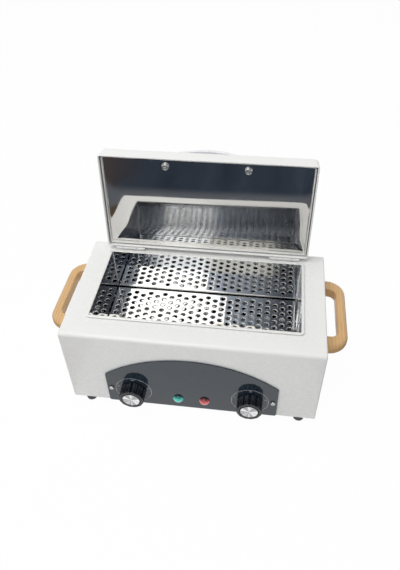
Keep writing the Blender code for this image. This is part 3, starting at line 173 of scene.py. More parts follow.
class Form:
    """A closed mesh that is being put together, in metres."""

    def __init__(self) -> None:
        """Starts with nothing in it."""
        self.mesh = bmesh.new()

    @classmethod
    def loft(cls, rings: Sequence[Sequence[Vector]], around: bool = False) -> "Form":
        """A skin through rings of as many points each.

        Args:
            rings: The rings, from one end to the other.
            around: Whether the last ring meets the first, instead of both being capped.

        Returns:
            The closed form.
        """
        form = cls()
        rows = [[form.mesh.verts.new(point) for point in ring] for ring in rings]
        pairs = list(zip(rows, rows[1:])) + ([(rows[-1], rows[0])] if around else [])
        for low, high in pairs:
            for i in range(len(low)):
                form.mesh.faces.new((low[i - 1], low[i], high[i], high[i - 1]))
        if not around:
            form.mesh.faces.new(rows[0])
            form.mesh.faces.new(rows[-1])
        return form

    @classmethod
    def prism(cls, outline: Sequence[Point], low: float, high: float) -> "Form":
        """A solid with straight sides over an outline in XY."""
        return cls.loft([raised(outline, low), raised(outline, high)])

    @classmethod
    def box(cls, low: Sequence[float], high: Sequence[float]) -> "Form":
        """A block between two corners, used to cut with."""
        return cls.loft([rectangle((low[0], high[0]), (low[1], high[1]), z) for z in (low[2], high[2])])

    @classmethod
    def turned(cls, profile: Sequence[Point], sides: int) -> "Form":
        """A solid of revolution about Z.

        Args:
            profile: (radius, height) points, where a radius of zero closes an end.
            sides: How many sides it is turned with.

        Returns:
            The closed form.
        """
        form = cls()
        rows = []
        for radius, height in profile:
            ring = [Vector((0, 0, height))] if radius == 0 else raised(circle(radius, sides), height)
            rows.append([form.mesh.verts.new(point) for point in ring])
        for low, high in zip(rows, rows[1:]):
            for i in range(sides):
                corners = [low[i - 1], low[i]] if len(low) > 1 else [low[0]]
                corners += [high[i], high[i - 1]] if len(high) > 1 else [high[0]]
                form.mesh.faces.new(corners)
        return form

    @classmethod
    def ring(cls, profile: Sequence[Point], sides: int = 40) -> "Form":
        """A solid of revolution about Z whose closed profile stays off the axis."""
        return cls.loft([raised(circle(radius, sides), height) for radius, height in profile], True)

    @classmethod
    def sheet(
        cls, outline: Sequence[Point], holes: Sequence[Sequence[Point]], low: float, high: float
    ) -> "Form":
        """A flat plate with holes.

        Args:
            outline: Its edge.
            holes: The outlines that are open through it.
            low: The level of its lower face.
            high: The level of its upper face.

        Returns:
            The closed form.
        """
        form = cls()
        for points in (outline, *holes):
            corners = [form.mesh.verts.new((x, y, low)) for x, y in points]
            for i, corner in enumerate(corners):
                form.mesh.edges.new((corners[i - 1], corner))
        bmesh.ops.triangle_fill(form.mesh, use_beauty=True, use_dissolve=False, edges=form.mesh.edges[:])
        grown = bmesh.ops.extrude_face_region(form.mesh, geom=form.mesh.faces[:])
        lifted = [part for part in grown["geom"] if isinstance(part, bmesh.types.BMVert)]
        bmesh.ops.translate(form.mesh, verts=lifted, vec=Vector((0, 0, high - low)))
        return form

    def patch(self, *corners: Vector) -> None:
        """Adds one loose face, to be joined by its corners later."""
        self.mesh.faces.new([self.mesh.verts.new(corner) for corner in corners])

    def sewn(self, within: float = 2e-6) -> "Form":
        """Joins the corners of loose faces that lie on each other, and returns the form."""
        bmesh.ops.remove_doubles(self.mesh, verts=self.mesh.verts[:], dist=within)
        return self

    def placed(self, matrix: Matrix) -> "Form":
        """Moves the whole form, and returns it."""
        bmesh.ops.transform(self.mesh, matrix=matrix, verts=self.mesh.verts[:])
        return self

    def with_others(self, others: Iterable["Form"]) -> "Form":
        """Takes in other forms that stay separate solids, and returns the form."""
        for other in others:
            mesh = other.finished("taken in")
            self.mesh.from_mesh(mesh)
            bpy.data.meshes.remove(mesh)
        return self

    def finished(self, name: str) -> bpy.types.Mesh:
        """Writes the form into a mesh, with all its faces turned outwards.

        Args:
            name: The mesh's name.

        Returns:
            The new mesh.
        """
        bmesh.ops.recalc_face_normals(self.mesh, faces=self.mesh.faces[:])
        mesh = bpy.data.meshes.new(name)
        self.mesh.to_mesh(mesh)
        self.mesh.free()
        return mesh

    def combined(self, others: Sequence["Form"], operation: str = "DIFFERENCE") -> "Form":
        """Cuts other forms from this one, or adds them to it, one after the other.

        Args:
            others: The forms to combine with.
            operation: DIFFERENCE or UNION.

        Returns:
            The new form.
        """
        helpers = []
        for form in (self, *others):
            made = bpy.data.objects.new("helper", form.finished("helper"))
            bpy.context.scene.collection.objects.link(made)
            helpers.append(made)
        for other in helpers[1:]:
            step = helpers[0].modifiers.new("combine", "BOOLEAN")
            step.operation = operation
            step.solver = "EXACT"
            step.object = other
        mesh = bpy.data.meshes.new_from_object(helpers[0].evaluated_get(bpy.context.evaluated_depsgraph_get()))
        result = Form()
        result.mesh.from_mesh(mesh)
        bpy.data.meshes.remove(mesh)
        for helper in helpers:
            bpy.data.meshes.remove(helper.data)
        return result


# Nodes


class Graph:
    """A node tree with short calls for adding nodes and joining them."""

    def __init__(self, tree: bpy.types.NodeTree) -> None:
        """Keeps the tree that nodes are added to."""
        self.tree = tree

    def feed(self, socket: bpy.types.NodeSocket, value: Any) -> None:
        """Links another node's socket to this one, or sets its value.

        Args:
            socket: The input.
            value: An output socket, a number, a colour or a vector.
        """
        if isinstance(value, bpy.types.NodeSocket):
            self.tree.links.new(value, socket)
        elif socket.type == "RGBA" and len(value) == 3:
            socket.default_value = (*value, 1.0)
        else:
            socket.default_value = value

    def add(self, kind: str, values: dict[Any, Any] | None = None, **settings: Any) -> bpy.types.Node:
        """Adds a node.

        Args:
            kind: Its type's name.
            values: What goes into its inputs, by name or number.
            **settings: Its own properties.

        Returns:
            The node.
        """
        node = self.tree.nodes.new(kind)
        for key, value in settings.items():
            setattr(node, key, value)
        for key, value in (values or {}).items():
            self.feed(node.inputs[key], value)
        return node

    def sum(self, operation: str, first: Any, second: Any = 0.0) -> bpy.types.NodeSocket:
        """The result of one Math node."""
        return self.add("ShaderNodeMath", {0: first, 1: second}, operation=operation).outputs[0]

    def spread(
        self, value: Any, low: float, high: float, to_low: Any = 0.0, to_high: Any = 1.0
    ) -> bpy.types.NodeSocket:
        """A value mapped smoothly from one range to another.

        Args:
            value: What is mapped.
            low: Where it starts to change.
            high: Where it stops.
            to_low: The result at the start.
            to_high: The result at the end.

        Returns:
            The mapped value.
        """
        values = {"Value": value, "From Min": low, "From Max": high, "To Min": to_low, "To Max": to_high}
        return self.add("ShaderNodeMapRange", values, interpolation_type="SMOOTHSTEP").outputs["Result"]

    def blend(self, factor: Any, first: Any, second: Any, way: str = "MIX") -> bpy.types.NodeSocket:
        """Two colours blended by a factor."""
        values = {0: factor, 6: first, 7: second}
        return self.add("ShaderNodeMix", values, data_type="RGBA", blend_type=way).outputs[2]

    def ramp(self, value: Any, stops: Sequence[tuple[float, Colour]]) -> bpy.types.NodeSocket:
        """A colour that runs through stops.

        Args:
            value: Where along the ramp, from zero to one.
            stops: (place, colour) pairs in order.

        Returns:
            The colour.
        """
        node = self.add("ShaderNodeValToRGB", {0: value})
        elements = node.color_ramp.elements
        for i, (place, colour) in enumerate(stops):
            stop = elements[i] if i < 2 else elements.new(place)
            stop.position = place
            stop.color = (*colour, 1.0)
        return node.outputs[0]

    def bump(self, height: Any, distance: float, strength: float = 1.0, under: Any = None) -> bpy.types.NodeSocket:
        """A normal from a height.

        Args:
            height: The height, from about zero to one.
            distance: How deep that is, in metres.
            strength: How much of it shows.
            under: A normal to add it to.

        Returns:
            The normal.
        """
        values = {"Height": height, "Distance": distance, "Strength": strength}
        if under is not None:
            values["Normal"] = under
        return self.add("ShaderNodeBump", values).outputs["Normal"]


class Effect(Enum):
    """The surface effects that several finishes share."""

    STRETCHED_NOISE = "stretched noise"
    EDGE_WEAR_AND_GLINT = "edge wear"
    SETTLED_DUST = "settled dust"
    SMUDGES = "hand smudges"
    TURNED_RINGS = "turned rings"
    WOOD_GRAIN = "wood grain"
    MOTTLE = "mottle"


class Effects:
    """The shader groups of the shared effects, each built once."""

    def __init__(self) -> None:
        """Starts with no group built."""
        self.built: dict[Effect, bpy.types.NodeTree] = {}

    def place(self, graph: Graph, effect: Effect, values: dict[str, Any]) -> bpy.types.Node:
        """Puts an effect into a material.

        Args:
            graph: The material's graph.
            effect: Which effect.
            values: What goes into its inputs.

        Returns:
            The group's node.
        """
        makers = {
            Effect.STRETCHED_NOISE: self.stretched_noise,
            Effect.EDGE_WEAR_AND_GLINT: self.edge_wear_and_glint,
            Effect.SETTLED_DUST: self.settled_dust,
            Effect.SMUDGES: self.smudges,
            Effect.TURNED_RINGS: self.turned_rings,
            Effect.WOOD_GRAIN: self.wood_grain,
            Effect.MOTTLE: self.mottle,
        }
        if effect not in self.built:
            self.built[effect] = makers[effect]()
        return graph.add("ShaderNodeGroup", values, node_tree=self.built[effect])

    @staticmethod
    def opened(name: str, inputs: dict[str, Any], outputs: Sequence[str]) -> tuple[Graph, Any, Any]:
        """Starts a group with its sockets.

        Args:
            name: The group's name.
            inputs: Each input's name and default: a number, or three numbers for a colour or,
                where the name ends in "Stretch", a vector.
            outputs: Each output's name; one that starts with "Color" holds a colour.

        Returns:
            The group's graph, its inner inputs and its inner outputs.
        """
        tree = bpy.data.node_groups.new(name, "ShaderNodeTree")
        for key, value in inputs.items():
            kind = "Float" if isinstance(value, float) else "Vector" if key.endswith("Stretch") else "Color"
            socket = tree.interface.new_socket(name=key, in_out="INPUT", socket_type=f"NodeSocket{kind}")
            socket.default_value = (*value, 1.0) if kind == "Color" else value
        for key in outputs:
            kind = "Color" if key.startswith("Color") else "Float"
            tree.interface.new_socket(name=key, in_out="OUTPUT", socket_type=f"NodeSocket{kind}")
        graph = Graph(tree)
        return graph, graph.add("NodeGroupInput").outputs, graph.add("NodeGroupOutput").inputs

    @staticmethod
    def place_on_piece(graph: Graph, stretch: Any = None) -> bpy.types.NodeSocket:
        """The piece's own coordinates in metres, stretched if asked."""
        here = graph.add("ShaderNodeTexCoord").outputs["Object"]
        if stretch is None:
            return here
        return graph.add("ShaderNodeVectorMath", {0: here, 1: stretch}, operation="MULTIPLY").outputs[0]

    @staticmethod
    def cloud(graph: Graph, where: Any, scale: Any, detail: Any = 2.0, rough: float = 0.5) -> bpy.types.NodeSocket:
        """Soft noise at a place, from zero to one."""
        values = {"Vector": where, "Scale": scale, "Detail": detail, "Roughness": rough}
        return graph.add("ShaderNodeTexNoise", values).outputs["Fac"]

    def stretched_noise(self) -> bpy.types.NodeTree:
        """Noise drawn out along an axis: paint texture, rolling marks or slow waves in sheet."""
        inputs = {"Stretch": (1.0, 1.0, 1.0), "Scale": 100.0, "Detail": 2.0, "Sharpness": 0.3}
        graph, given, out = self.opened("stretched noise", inputs, ["Height"])
        cloud = self.cloud(graph, self.place_on_piece(graph, given["Stretch"]), given["Scale"], given["Detail"])
        margin = graph.sum("MULTIPLY", given["Sharpness"], 0.5)
        values = {"Value": cloud, "From Min": margin, "From Max": graph.sum("SUBTRACT", 1.0, margin)}
        graph.feed(out["Height"], graph.add("ShaderNodeMapRange", values).outputs["Result"])
        return graph.tree

    def edge_wear_and_glint(self) -> bpy.types.NodeTree:
        """Rubbed edges, broken up by noise; on the black knob the same edge colour is a painted highlight along the
        flute ridges.
        """
        inputs = {"Color": (0.8, 0.8, 0.8), "Worn And Glint Color": (0.5, 0.5, 0.5), "Amount": 0.3, "Scale": 220.0}
        graph, given, out = self.opened("edge wear", inputs, ["Color", "Mask"])
        edge = graph.spread(graph.add("ShaderNodeNewGeometry").outputs["Pointiness"], 0.515, 0.58)
        broken = graph.spread(self.cloud(graph, self.place_on_piece(graph), given["Scale"], 4.0), 0.35, 0.62)
        mask = graph.sum("MULTIPLY", graph.sum("MULTIPLY", edge, broken), given["Amount"])
        graph.feed(out["Color"], graph.blend(mask, given["Color"], given["Worn And Glint Color"]))
        graph.feed(out["Mask"], mask)
        return graph.tree

    def settled_dust(self) -> bpy.types.NodeTree:
        """A thin film of dust on what faces up."""
        inputs = {"Color": (0.8, 0.8, 0.8), "Dust Color": DUST, "Amount": 0.2, "Scale": 60.0}
        graph, given, out = self.opened("settled dust", inputs, ["Color", "Mask"])
        normal = graph.add("ShaderNodeNewGeometry").outputs["Normal"]
        up = graph.add("ShaderNodeSeparateXYZ", {0: normal}).outputs["Z"]
        film = graph.spread(self.cloud(graph, self.place_on_piece(graph), given["Scale"], 5.0, 0.65), 0.38, 0.75)
        mask = graph.sum("MULTIPLY", graph.sum("MULTIPLY", graph.spread(up, 0.35, 0.95), film), given["Amount"])
        graph.feed(out["Color"], graph.blend(mask, given["Color"], given["Dust Color"]))
        graph.feed(out["Mask"], mask)
        return graph.tree

    def smudges(self) -> bpy.types.NodeTree:
        """Roughness that drifts between two values where hands and cloths have been."""
        inputs = {"Low": 0.1, "High": 0.2, "Scale": 30.0}
        graph, given, out = self.opened("hand smudges", inputs, ["Roughness"])
        here = self.place_on_piece(graph)
        wide = self.cloud(graph, here, given["Scale"], 3.0, 0.6)
        fine = self.cloud(graph, here, graph.sum("MULTIPLY", given["Scale"], 9.0), 2.0)
        both = graph.sum("ADD", graph.sum("MULTIPLY", wide, 0.75), graph.sum("MULTIPLY", fine, 0.25))
        graph.feed(out["Roughness"], graph.spread(both, 0.35, 0.65, given["Low"], given["High"]))
        return graph.tree

    def turned_rings(self) -> bpy.types.NodeTree:
        """A lathe's fine rings round the piece's own Z axis, and a noise by angle round it that the spun cap paints
        as reflection rays.
        """
        inputs = {"Spacing": 0.0003, "Wander": 0.4}
        graph, given, out = self.opened("turned rings", inputs, ["Height", "Reach", "Painted Rays"])
        here = self.place_on_piece(graph)
        parts = graph.add("ShaderNodeSeparateXYZ", {0: here}).outputs
        squares = [graph.sum("MULTIPLY", parts[axis], parts[axis]) for axis in "XY"]
        square = graph.sum("ADD", *squares)
        reach = graph.sum("SQRT", square)
        count = graph.sum("DIVIDE", reach, given["Spacing"])
        wander = graph.sum("MULTIPLY", self.cloud(graph, here, 900.0), given["Wander"])
        turn = graph.sum("MULTIPLY", graph.sum("ADD", count, wander), 2 * math.pi)
        wave = graph.sum("MULTIPLY", graph.sum("ADD", graph.sum("SINE", turn), 1.0), 0.5)
        graph.feed(out["Height"], wave)
        graph.feed(out["Reach"], reach)
        flat = graph.add("ShaderNodeCombineXYZ", {"X": parts["X"], "Y": parts["Y"]}).outputs[0]
        way = graph.add("ShaderNodeVectorMath", {0: flat}, operation="NORMALIZE").outputs[0]
        graph.feed(out["Painted Rays"], self.cloud(graph, way, 1.7, 3.0))
        return graph.tree

    def wood_grain(self) -> bpy.types.NodeTree:
        """Growth rings cut lengthwise, with darker pores along the grain."""
        inputs = {
            "Color Light": (0.6, 0.4, 0.2),
            "Color Dark": (0.4, 0.22, 0.09),
            "Grain Stretch": (1.0, 0.08, 1.0),
            "Scale": 160.0,
        }
        graph, given, out = self.opened("wood grain", inputs, ["Color", "Height"])
        here = self.place_on_piece(graph, given["Grain Stretch"])
        bend = self.cloud(graph, here, graph.sum("MULTIPLY", given["Scale"], 0.35), 3.0)
        bent = graph.sum("MULTIPLY", bend, 9.0)
        values = {"Vector": here, "Scale": given["Scale"], "Distortion": bent, "Detail": 2.0}
        rings = graph.add("ShaderNodeTexWave", values, wave_type="RINGS", rings_direction="Y")
        bands = rings.outputs["Fac"]
        pores = self.cloud(graph, here, graph.sum("MULTIPLY", given["Scale"], 11.0), 4.0, 0.7)
        mixed = graph.sum("ADD", graph.sum("MULTIPLY", bands, 0.25), graph.sum("MULTIPLY", pores, 0.75))
        shade = graph.spread(mixed, 0.1, 0.75)
        graph.feed(out["Color"], graph.blend(shade, given["Color Dark"], given["Color Light"]))
        graph.feed(out["Height"], graph.spread(pores, 0.35, 0.6))
        return graph.tree

    def mottle(self) -> bpy.types.NodeTree:
        """A colour that drifts a little towards another."""
        inputs = {"Color": (0.5, 0.5, 0.5), "Tint": (0.4, 0.4, 0.4), "Amount": 0.5, "Scale": 40.0}
        graph, given, out = self.opened("mottle", inputs, ["Color"])
        cloud = self.cloud(graph, self.place_on_piece(graph), given["Scale"], 4.0, 0.6)
        factor = graph.sum("MULTIPLY", graph.spread(cloud, 0.3, 0.7), given["Amount"])
        graph.feed(out["Color"], graph.blend(factor, given["Color"], given["Tint"]))
        return graph.tree


# Finishes


class Layers:
    """What a finish lays over its Principled shader: colour, roughness and relief."""

    TINTS = {Effect.MOTTLE: "Tint", Effect.EDGE_WEAR_AND_GLINT: "Worn And Glint Color", Effect.SETTLED_DUST: "Dust Color"}

    def __init__(self, tree: bpy.types.NodeTree, effects: Effects, colour: Colour, roughness: float) -> None:
        """Starts with a plain colour and an even roughness."""
        self.graph = Graph(tree)
        self.inputs = tree.nodes["Principled BSDF"].inputs
        self.effects = effects
        self.roughness = roughness
        self.normal: Any = None
        self.paint(colour)
        self.fix({"Roughness": roughness})

    def fix(self, values: dict[str, float]) -> None:
        """Sets inputs of the shader to plain numbers."""
        for name, value in values.items():
            self.inputs[name].default_value = value

    def coat(self, weight: float, roughness: float) -> None:
        """Lays a clear gloss over all."""
        self.fix({"Coat Weight": weight, "Coat Roughness": roughness})

    def paint(self, colour: Any) -> None:
        """Makes this the colour so far."""
        self.colour = colour
        self.graph.feed(self.inputs["Base Color"], colour)

    def tint(self, effect: Effect, other: Colour, amount: float, scale: float) -> None:
        """Lets the colour so far drift towards another, wear, gather dust, or take a painted edge highlight."""
        values = {"Color": self.colour, self.TINTS[effect]: other, "Amount": amount, "Scale": scale}
        self.paint(self.effects.place(self.graph, effect, values).outputs["Color"])

    def smudge(self, low: float, high: float, scale: float) -> None:
        """Lets the roughness drift between two shares of itself."""
        values = {"Low": self.roughness * low, "High": self.roughness * high, "Scale": scale}
        smudged = self.effects.place(self.graph, Effect.SMUDGES, values)
        self.graph.feed(self.inputs["Roughness"], smudged.outputs["Roughness"])

    def relief(self, height: Any, depth: float, strength: float) -> None:
        """Adds a height to the relief so far, the depth in metres."""
        self.normal = self.graph.bump(height, depth, strength, self.normal)
        self.graph.feed(self.inputs["Normal"], self.normal)

    def noise(self, scale: float, detail: float, **values: Any) -> bpy.types.NodeSocket:
        """The height of stretched noise."""
        given = {"Scale": scale, "Detail": detail, **values}
        return self.effects.place(self.graph, Effect.STRETCHED_NOISE, given).outputs["Height"]

    def rings(self, spacing: float, wander: float) -> Any:
        """The outputs of turned rings."""
        return self.effects.place(self.graph, Effect.TURNED_RINGS, {"Spacing": spacing, "Wander": wander}).outputs


@dataclass(frozen=True)
class Finish:
    """What every finish has: its name, its colour and how rough it is."""

    name: str
    colour: Colour
    roughness: float

    def dress(self, layers: Layers) -> None:
        """Lays the finish's own layers."""
        raise NotImplementedError

    def darker(self, share: float) -> Colour:
        """The finish's colour times a share."""
        return tuple(channel * share for channel in self.colour)

    def material(self, effects: Effects) -> bpy.types.Material:
        """Makes the finish's material with the shared effects."""
        made = bpy.data.materials.new(self.name)
        made.use_nodes = True
        self.dress(Layers(made.node_tree, effects, self.colour, self.roughness))
        return made


@dataclass(frozen=True)
class Paint(Finish):
    """Baked enamel with a slight orange peel, rubbed at its edges."""

    worn_and_glint: Colour = (0.62, 0.62, 0.62)
    wear_and_glint: float = 0.25
    dust: float = 0.02
    peel: float = 0.000003
    clear_coat: float = 0.25

    def dress(self, layers: Layers) -> None:
        """Colour through wear and dust, a soft peel, and a thin gloss over it."""
        layers.tint(Effect.MOTTLE, self.darker(0.985), 0.6, 14.0)
        layers.tint(Effect.EDGE_WEAR_AND_GLINT, self.worn_and_glint, self.wear_and_glint, 260.0)
        layers.tint(Effect.SETTLED_DUST, (0.72, 0.71, 0.68), self.dust, 60.0)
        layers.smudge(0.85, 1.25, 22.0)
        layers.relief(layers.noise(750.0, 2.0), self.peel, 0.6)
        layers.coat(self.clear_coat, 0.08)


@dataclass(frozen=True)
class SheetSteel(Finish):
    """Rolled stainless sheet: bright, faintly streaked, and never quite flat."""

    streak: tuple[float, float, float] = (1.0, 0.04, 1.0)
    streak_depth: float = 0.000002
    wave: float = 0.0
    wave_scale: float = 16.0
    stain: Colour = (0.52, 0.50, 0.47)
    stain_amount: float = 0.25
    metallic: float = 1.0

    def dress(self, layers: Layers) -> None:
        """Metal with rolling marks, slow waves, smudges and a faint heat stain."""
        layers.fix({"Metallic": self.metallic})
        layers.tint(Effect.MOTTLE, self.stain, self.stain_amount, 26.0)
        layers.tint(Effect.EDGE_WEAR_AND_GLINT, (0.86, 0.86, 0.86), 0.5, 400.0)
        layers.smudge(0.7, 1.5, 38.0)
        layers.relief(layers.noise(1400.0, 3.0, Stretch=self.streak), self.streak_depth, 0.5)
        if self.wave > 0:
            layers.relief(layers.noise(self.wave_scale, 1.0, Stretch=(1.0, 1.0, 0.6)), self.wave, 1.0)


@dataclass(frozen=True)
class TurnedSteel(Finish):
    """Metal with the fine rings of a lathe round its own axis."""

    spacing: float = 0.00030
    depth: float = 0.000006

    def dress(self, layers: Layers) -> None:
        """Rings in the normal and a rubbed edge."""
        layers.fix({"Metallic": 1.0})
        layers.tint(Effect.EDGE_WEAR_AND_GLINT, (0.92, 0.92, 0.92), 0.6, 700.0)
        layers.smudge(0.8, 1.3, 150.0)
        layers.relief(layers.rings(self.spacing, 0.4)["Height"], self.depth, 0.7)


@dataclass(frozen=True)
class SpunCap(Finish):
    """A spun disc with painted reflection: pale and dark painted rays round its middle, inside a painted dark edge.
    """

    # shade is the darker painted ray colour; edge is the painted dark reflection round the rolled rim, from the reach
    # outwards.
    shade: Colour = (0.34, 0.34, 0.35)
    edge: Colour = (0.020, 0.021, 0.024)
    painted_edge_reach: float = 0.0101

    def dress(self, layers: Layers) -> None:
        """Painted reflection rays and a painted dark edge in the colour, rings in the normal."""
        layers.fix({"Metallic": 1.0})
        graph, rings = layers.graph, layers.rings(0.00022, 0.4)
        painted_rays = graph.blend(graph.spread(rings["Painted Rays"], 0.36, 0.60), self.shade, self.colour)
        # The mask of the painted dark edge.
        rim = graph.spread(rings["Reach"], self.painted_edge_reach, self.painted_edge_reach + 0.0003)
        layers.paint(graph.blend(rim, painted_rays, self.edge))
        layers.smudge(0.8, 1.3, 150.0)
        layers.relief(rings["Height"], 0.000006, 0.7)


@dataclass(frozen=True)
class Moulded(Finish):
    """Moulded plastic or rubber with a fine grain and rubbed edges; the black knob's pale edges are a painted
    highlight.
    """

    grain: float = 0.00001
    grain_scale: float = 1800.0
    worn_and_glint: Colour = (0.10, 0.10, 0.11)
    wear_and_glint: float = 0.3
    dust: float = 0.15
    gloss: float = 0.0

    def dress(self, layers: Layers) -> None:
        """Colour through edge wear and dust, with the mould's grain; on the black knob the edge colour is a painted
        highlight.
        """
        layers.tint(Effect.MOTTLE, self.darker(0.85), 0.6, 120.0)
        layers.tint(Effect.EDGE_WEAR_AND_GLINT, self.worn_and_glint, self.wear_and_glint, 500.0)
        layers.tint(Effect.SETTLED_DUST, DUST, self.dust, 220.0)
        layers.smudge(0.85, 1.2, 90.0)
        layers.relief(layers.noise(self.grain_scale, 2.0), self.grain, 0.6)
        layers.coat(self.gloss, 0.06)


@dataclass(frozen=True)
class PanelFilm(Finish):
    """A dark printed film under hard gloss, which mirrors what stands on it."""

    fleck: Colour = (0.022, 0.034, 0.048)
    index: float = 1.62

    def dress(self, layers: Layers) -> None:
        """A fine fleck under a smooth, strongly reflecting face."""
        flecks = layers.graph.spread(layers.noise(3200.0, 1.0, Sharpness=0.7), 0.45, 0.85)
        layers.paint(layers.graph.blend(flecks, self.colour, self.fleck))
        layers.smudge(0.7, 1.6, 30.0)
        layers.relief(layers.noise(45.0, 1.0), 0.00002, 0.5)
        layers.fix({"IOR": self.index})


@dataclass(frozen=True)
class Ink(Finish):
    """Screen printed ink, a little thin in places."""

    thin: Colour = (0.30, 0.31, 0.33)

    def dress(self, layers: Layers) -> None:
        """Ink that drifts towards its thin colour."""
        layers.tint(Effect.MOTTLE, self.thin, 0.45, 700.0)
        layers.smudge(1.0, 1.3, 300.0)


@dataclass(frozen=True)
class Wood(Finish):
    """Varnished pale hardwood with its grain along Y."""

    dark: Colour = (0.52, 0.29, 0.115)
    stretch: tuple[float, float, float] = (1.0, 0.07, 1.0)
    scale: float = 90.0

    def dress(self, layers: Layers) -> None:
        """Grain in colour and normal, wear on the edges, and a coat of varnish."""
        values = {
            "Color Light": self.colour,
            "Color Dark": self.dark,
            "Grain Stretch": self.stretch,
            "Scale": self.scale,
        }
        grain = layers.effects.place(layers.graph, Effect.WOOD_GRAIN, values).outputs
        layers.paint(grain["Color"])
        layers.tint(Effect.MOTTLE, self.dark, 0.22, 24.0)
        layers.tint(Effect.EDGE_WEAR_AND_GLINT, (0.78, 0.58, 0.34), 0.35, 180.0)
        layers.smudge(0.8, 1.3, 60.0)
        layers.relief(grain["Height"], 0.00004, 0.35)
        layers.coat(0.5, 0.16)


@dataclass(frozen=True)
class Lens(Finish):
    """A clear coloured dome with painted light: a painted glow low in it and painted shade at its top."""

    # deep is the painted shade at the top of the dome, glow the painted glow below it.
    deep: Colour = (0.01, 0.03, 0.03)
    glow: Colour = (0.3, 0.9, 0.8)
    half_height: float = 0.0062

    def dress(self, layers: Layers) -> None:
        """Painted glow and painted shade down the dome's own height, a faint ribbing inside, and a smooth face."""
        here = layers.graph.add("ShaderNodeTexCoord").outputs["Object"]
        height = layers.graph.add("ShaderNodeSeparateXYZ", {0: here}).outputs["Y"]
        place = layers.graph.spread(height, -self.half_height, self.half_height)
        stops = [(0.0, self.colour), (0.56, self.glow), (0.86, self.colour), (0.98, self.deep)]
        layers.paint(layers.graph.ramp(place, stops))
        layers.tint(Effect.SETTLED_DUST, DUST, 0.06, 300.0)
        layers.smudge(1.0, 1.6, 200.0)
        layers.relief(layers.rings(0.0009, 0.1)["Height"], 0.00002, 0.25)
        layers.coat(1.0, 0.03)


@dataclass(frozen=True)
class Wool(Finish):
    """Packed mineral wool."""

    shade: Colour = (0.45, 0.41, 0.32)

    def dress(self, layers: Layers) -> None:
        """Matted fibres in colour and normal."""
        fibres = layers.noise(500.0, 6.0, Stretch=(1.0, 0.5, 0.35), Sharpness=0.6)
        layers.paint(layers.graph.blend(fibres, self.shade, self.colour))
        layers.relief(fibres, 0.0008, 0.9)
        layers.fix({"Sheen Weight": 0.3})


class Slot(Enum):
    """The record's material slots."""

    WHITE_PAINT = "white_paint"
    STAINLESS = "stainless"
    MIRROR_STAINLESS = "mirror_stainless"
    SCREW_STEEL = "screw_steel"
    ZINC_PLATE = "zinc_plate"
    PANEL_GREY = "panel_grey"
    KNOB_BLACK = "knob_black"
    SPUN_ALUMINIUM = "spun_aluminium"
    WOOD = "wood"
    HANDLE_PLASTIC = "handle_plastic"
    GREEN_LENS = "green_lens"
    RED_LENS = "red_lens"
    DARK_PLASTIC = "dark_plastic"
    RUBBER = "rubber"
    INSULATION = "insulation"
    CERAMIC = "ceramic"


FINISHES: dict[Slot, Finish] = {
    Slot.WHITE_PAINT: Paint("baked white enamel", (0.84, 0.84, 0.83), 0.34),
    Slot.STAINLESS: SheetSteel("chamber stainless", (0.72, 0.72, 0.715), 0.035, wave=0.00010, wave_scale=22.0),
    Slot.MIRROR_STAINLESS: SheetSteel(
        "mirror liner", (0.68, 0.67, 0.65), 0.04, streak=(1.0, 1.0, 0.03), streak_depth=0.0000015, stain_amount=0.12
    ),
    Slot.SCREW_STEEL: TurnedSteel("bright screw steel", (0.66, 0.66, 0.66), 0.26),
    Slot.ZINC_PLATE: SheetSteel("zinc plate", (0.55, 0.56, 0.58), 0.34, stain=(0.36, 0.37, 0.38), stain_amount=0.7),
    Slot.PANEL_GREY: PanelFilm("glossy panel film", (0.014, 0.024, 0.037), 0.045),
    # The black knob's pale bluish edge colour is a painted highlight along its flute ridges, not wear.
    Slot.KNOB_BLACK: Moulded(
        "knob black", (0.004, 0.005, 0.008), 0.13, worn_and_glint=(0.20, 0.23, 0.29), wear_and_glint=0.5, dust=0.0, grain=0.0000015
    ),
    # The cap's rays and dark edge are painted reflection.
    Slot.SPUN_ALUMINIUM: SpunCap("spun aluminium", (0.84, 0.84, 0.85), 0.22),
    Slot.WOOD: Wood("varnished beech", (0.71, 0.45, 0.20), 0.36),
    Slot.HANDLE_PLASTIC: Moulded(
        "pale handle plastic", (0.86, 0.86, 0.89), 0.30, worn_and_glint=(0.86, 0.86, 0.88), wear_and_glint=0.2, dust=0.06, gloss=0.3
    ),
    # Each lens's glow and deep colours are a painted glow and painted shade.
    Slot.GREEN_LENS: Lens("green lens", (0.012, 0.50, 0.43), 0.07, deep=(0.002, 0.10, 0.10), glow=(0.05, 0.76, 0.63)),
    Slot.RED_LENS: Lens("red lens", (0.58, 0.045, 0.050), 0.07, deep=(0.10, 0.008, 0.010), glow=(0.86, 0.15, 0.14)),
    Slot.DARK_PLASTIC: Moulded("dark moulding", (0.022, 0.022, 0.024), 0.42),
    Slot.RUBBER: Moulded("rubber", (0.050, 0.050, 0.055), 0.72, grain=0.00003, worn_and_glint=(0.16, 0.16, 0.16), dust=0.3),
    Slot.INSULATION: Wool("mineral wool", (0.74, 0.69, 0.55), 0.95),
    Slot.CERAMIC: Moulded("ceramic", (0.78, 0.76, 0.70), 0.45, worn_and_glint=(0.86, 0.85, 0.82), grain=0.00002),
}

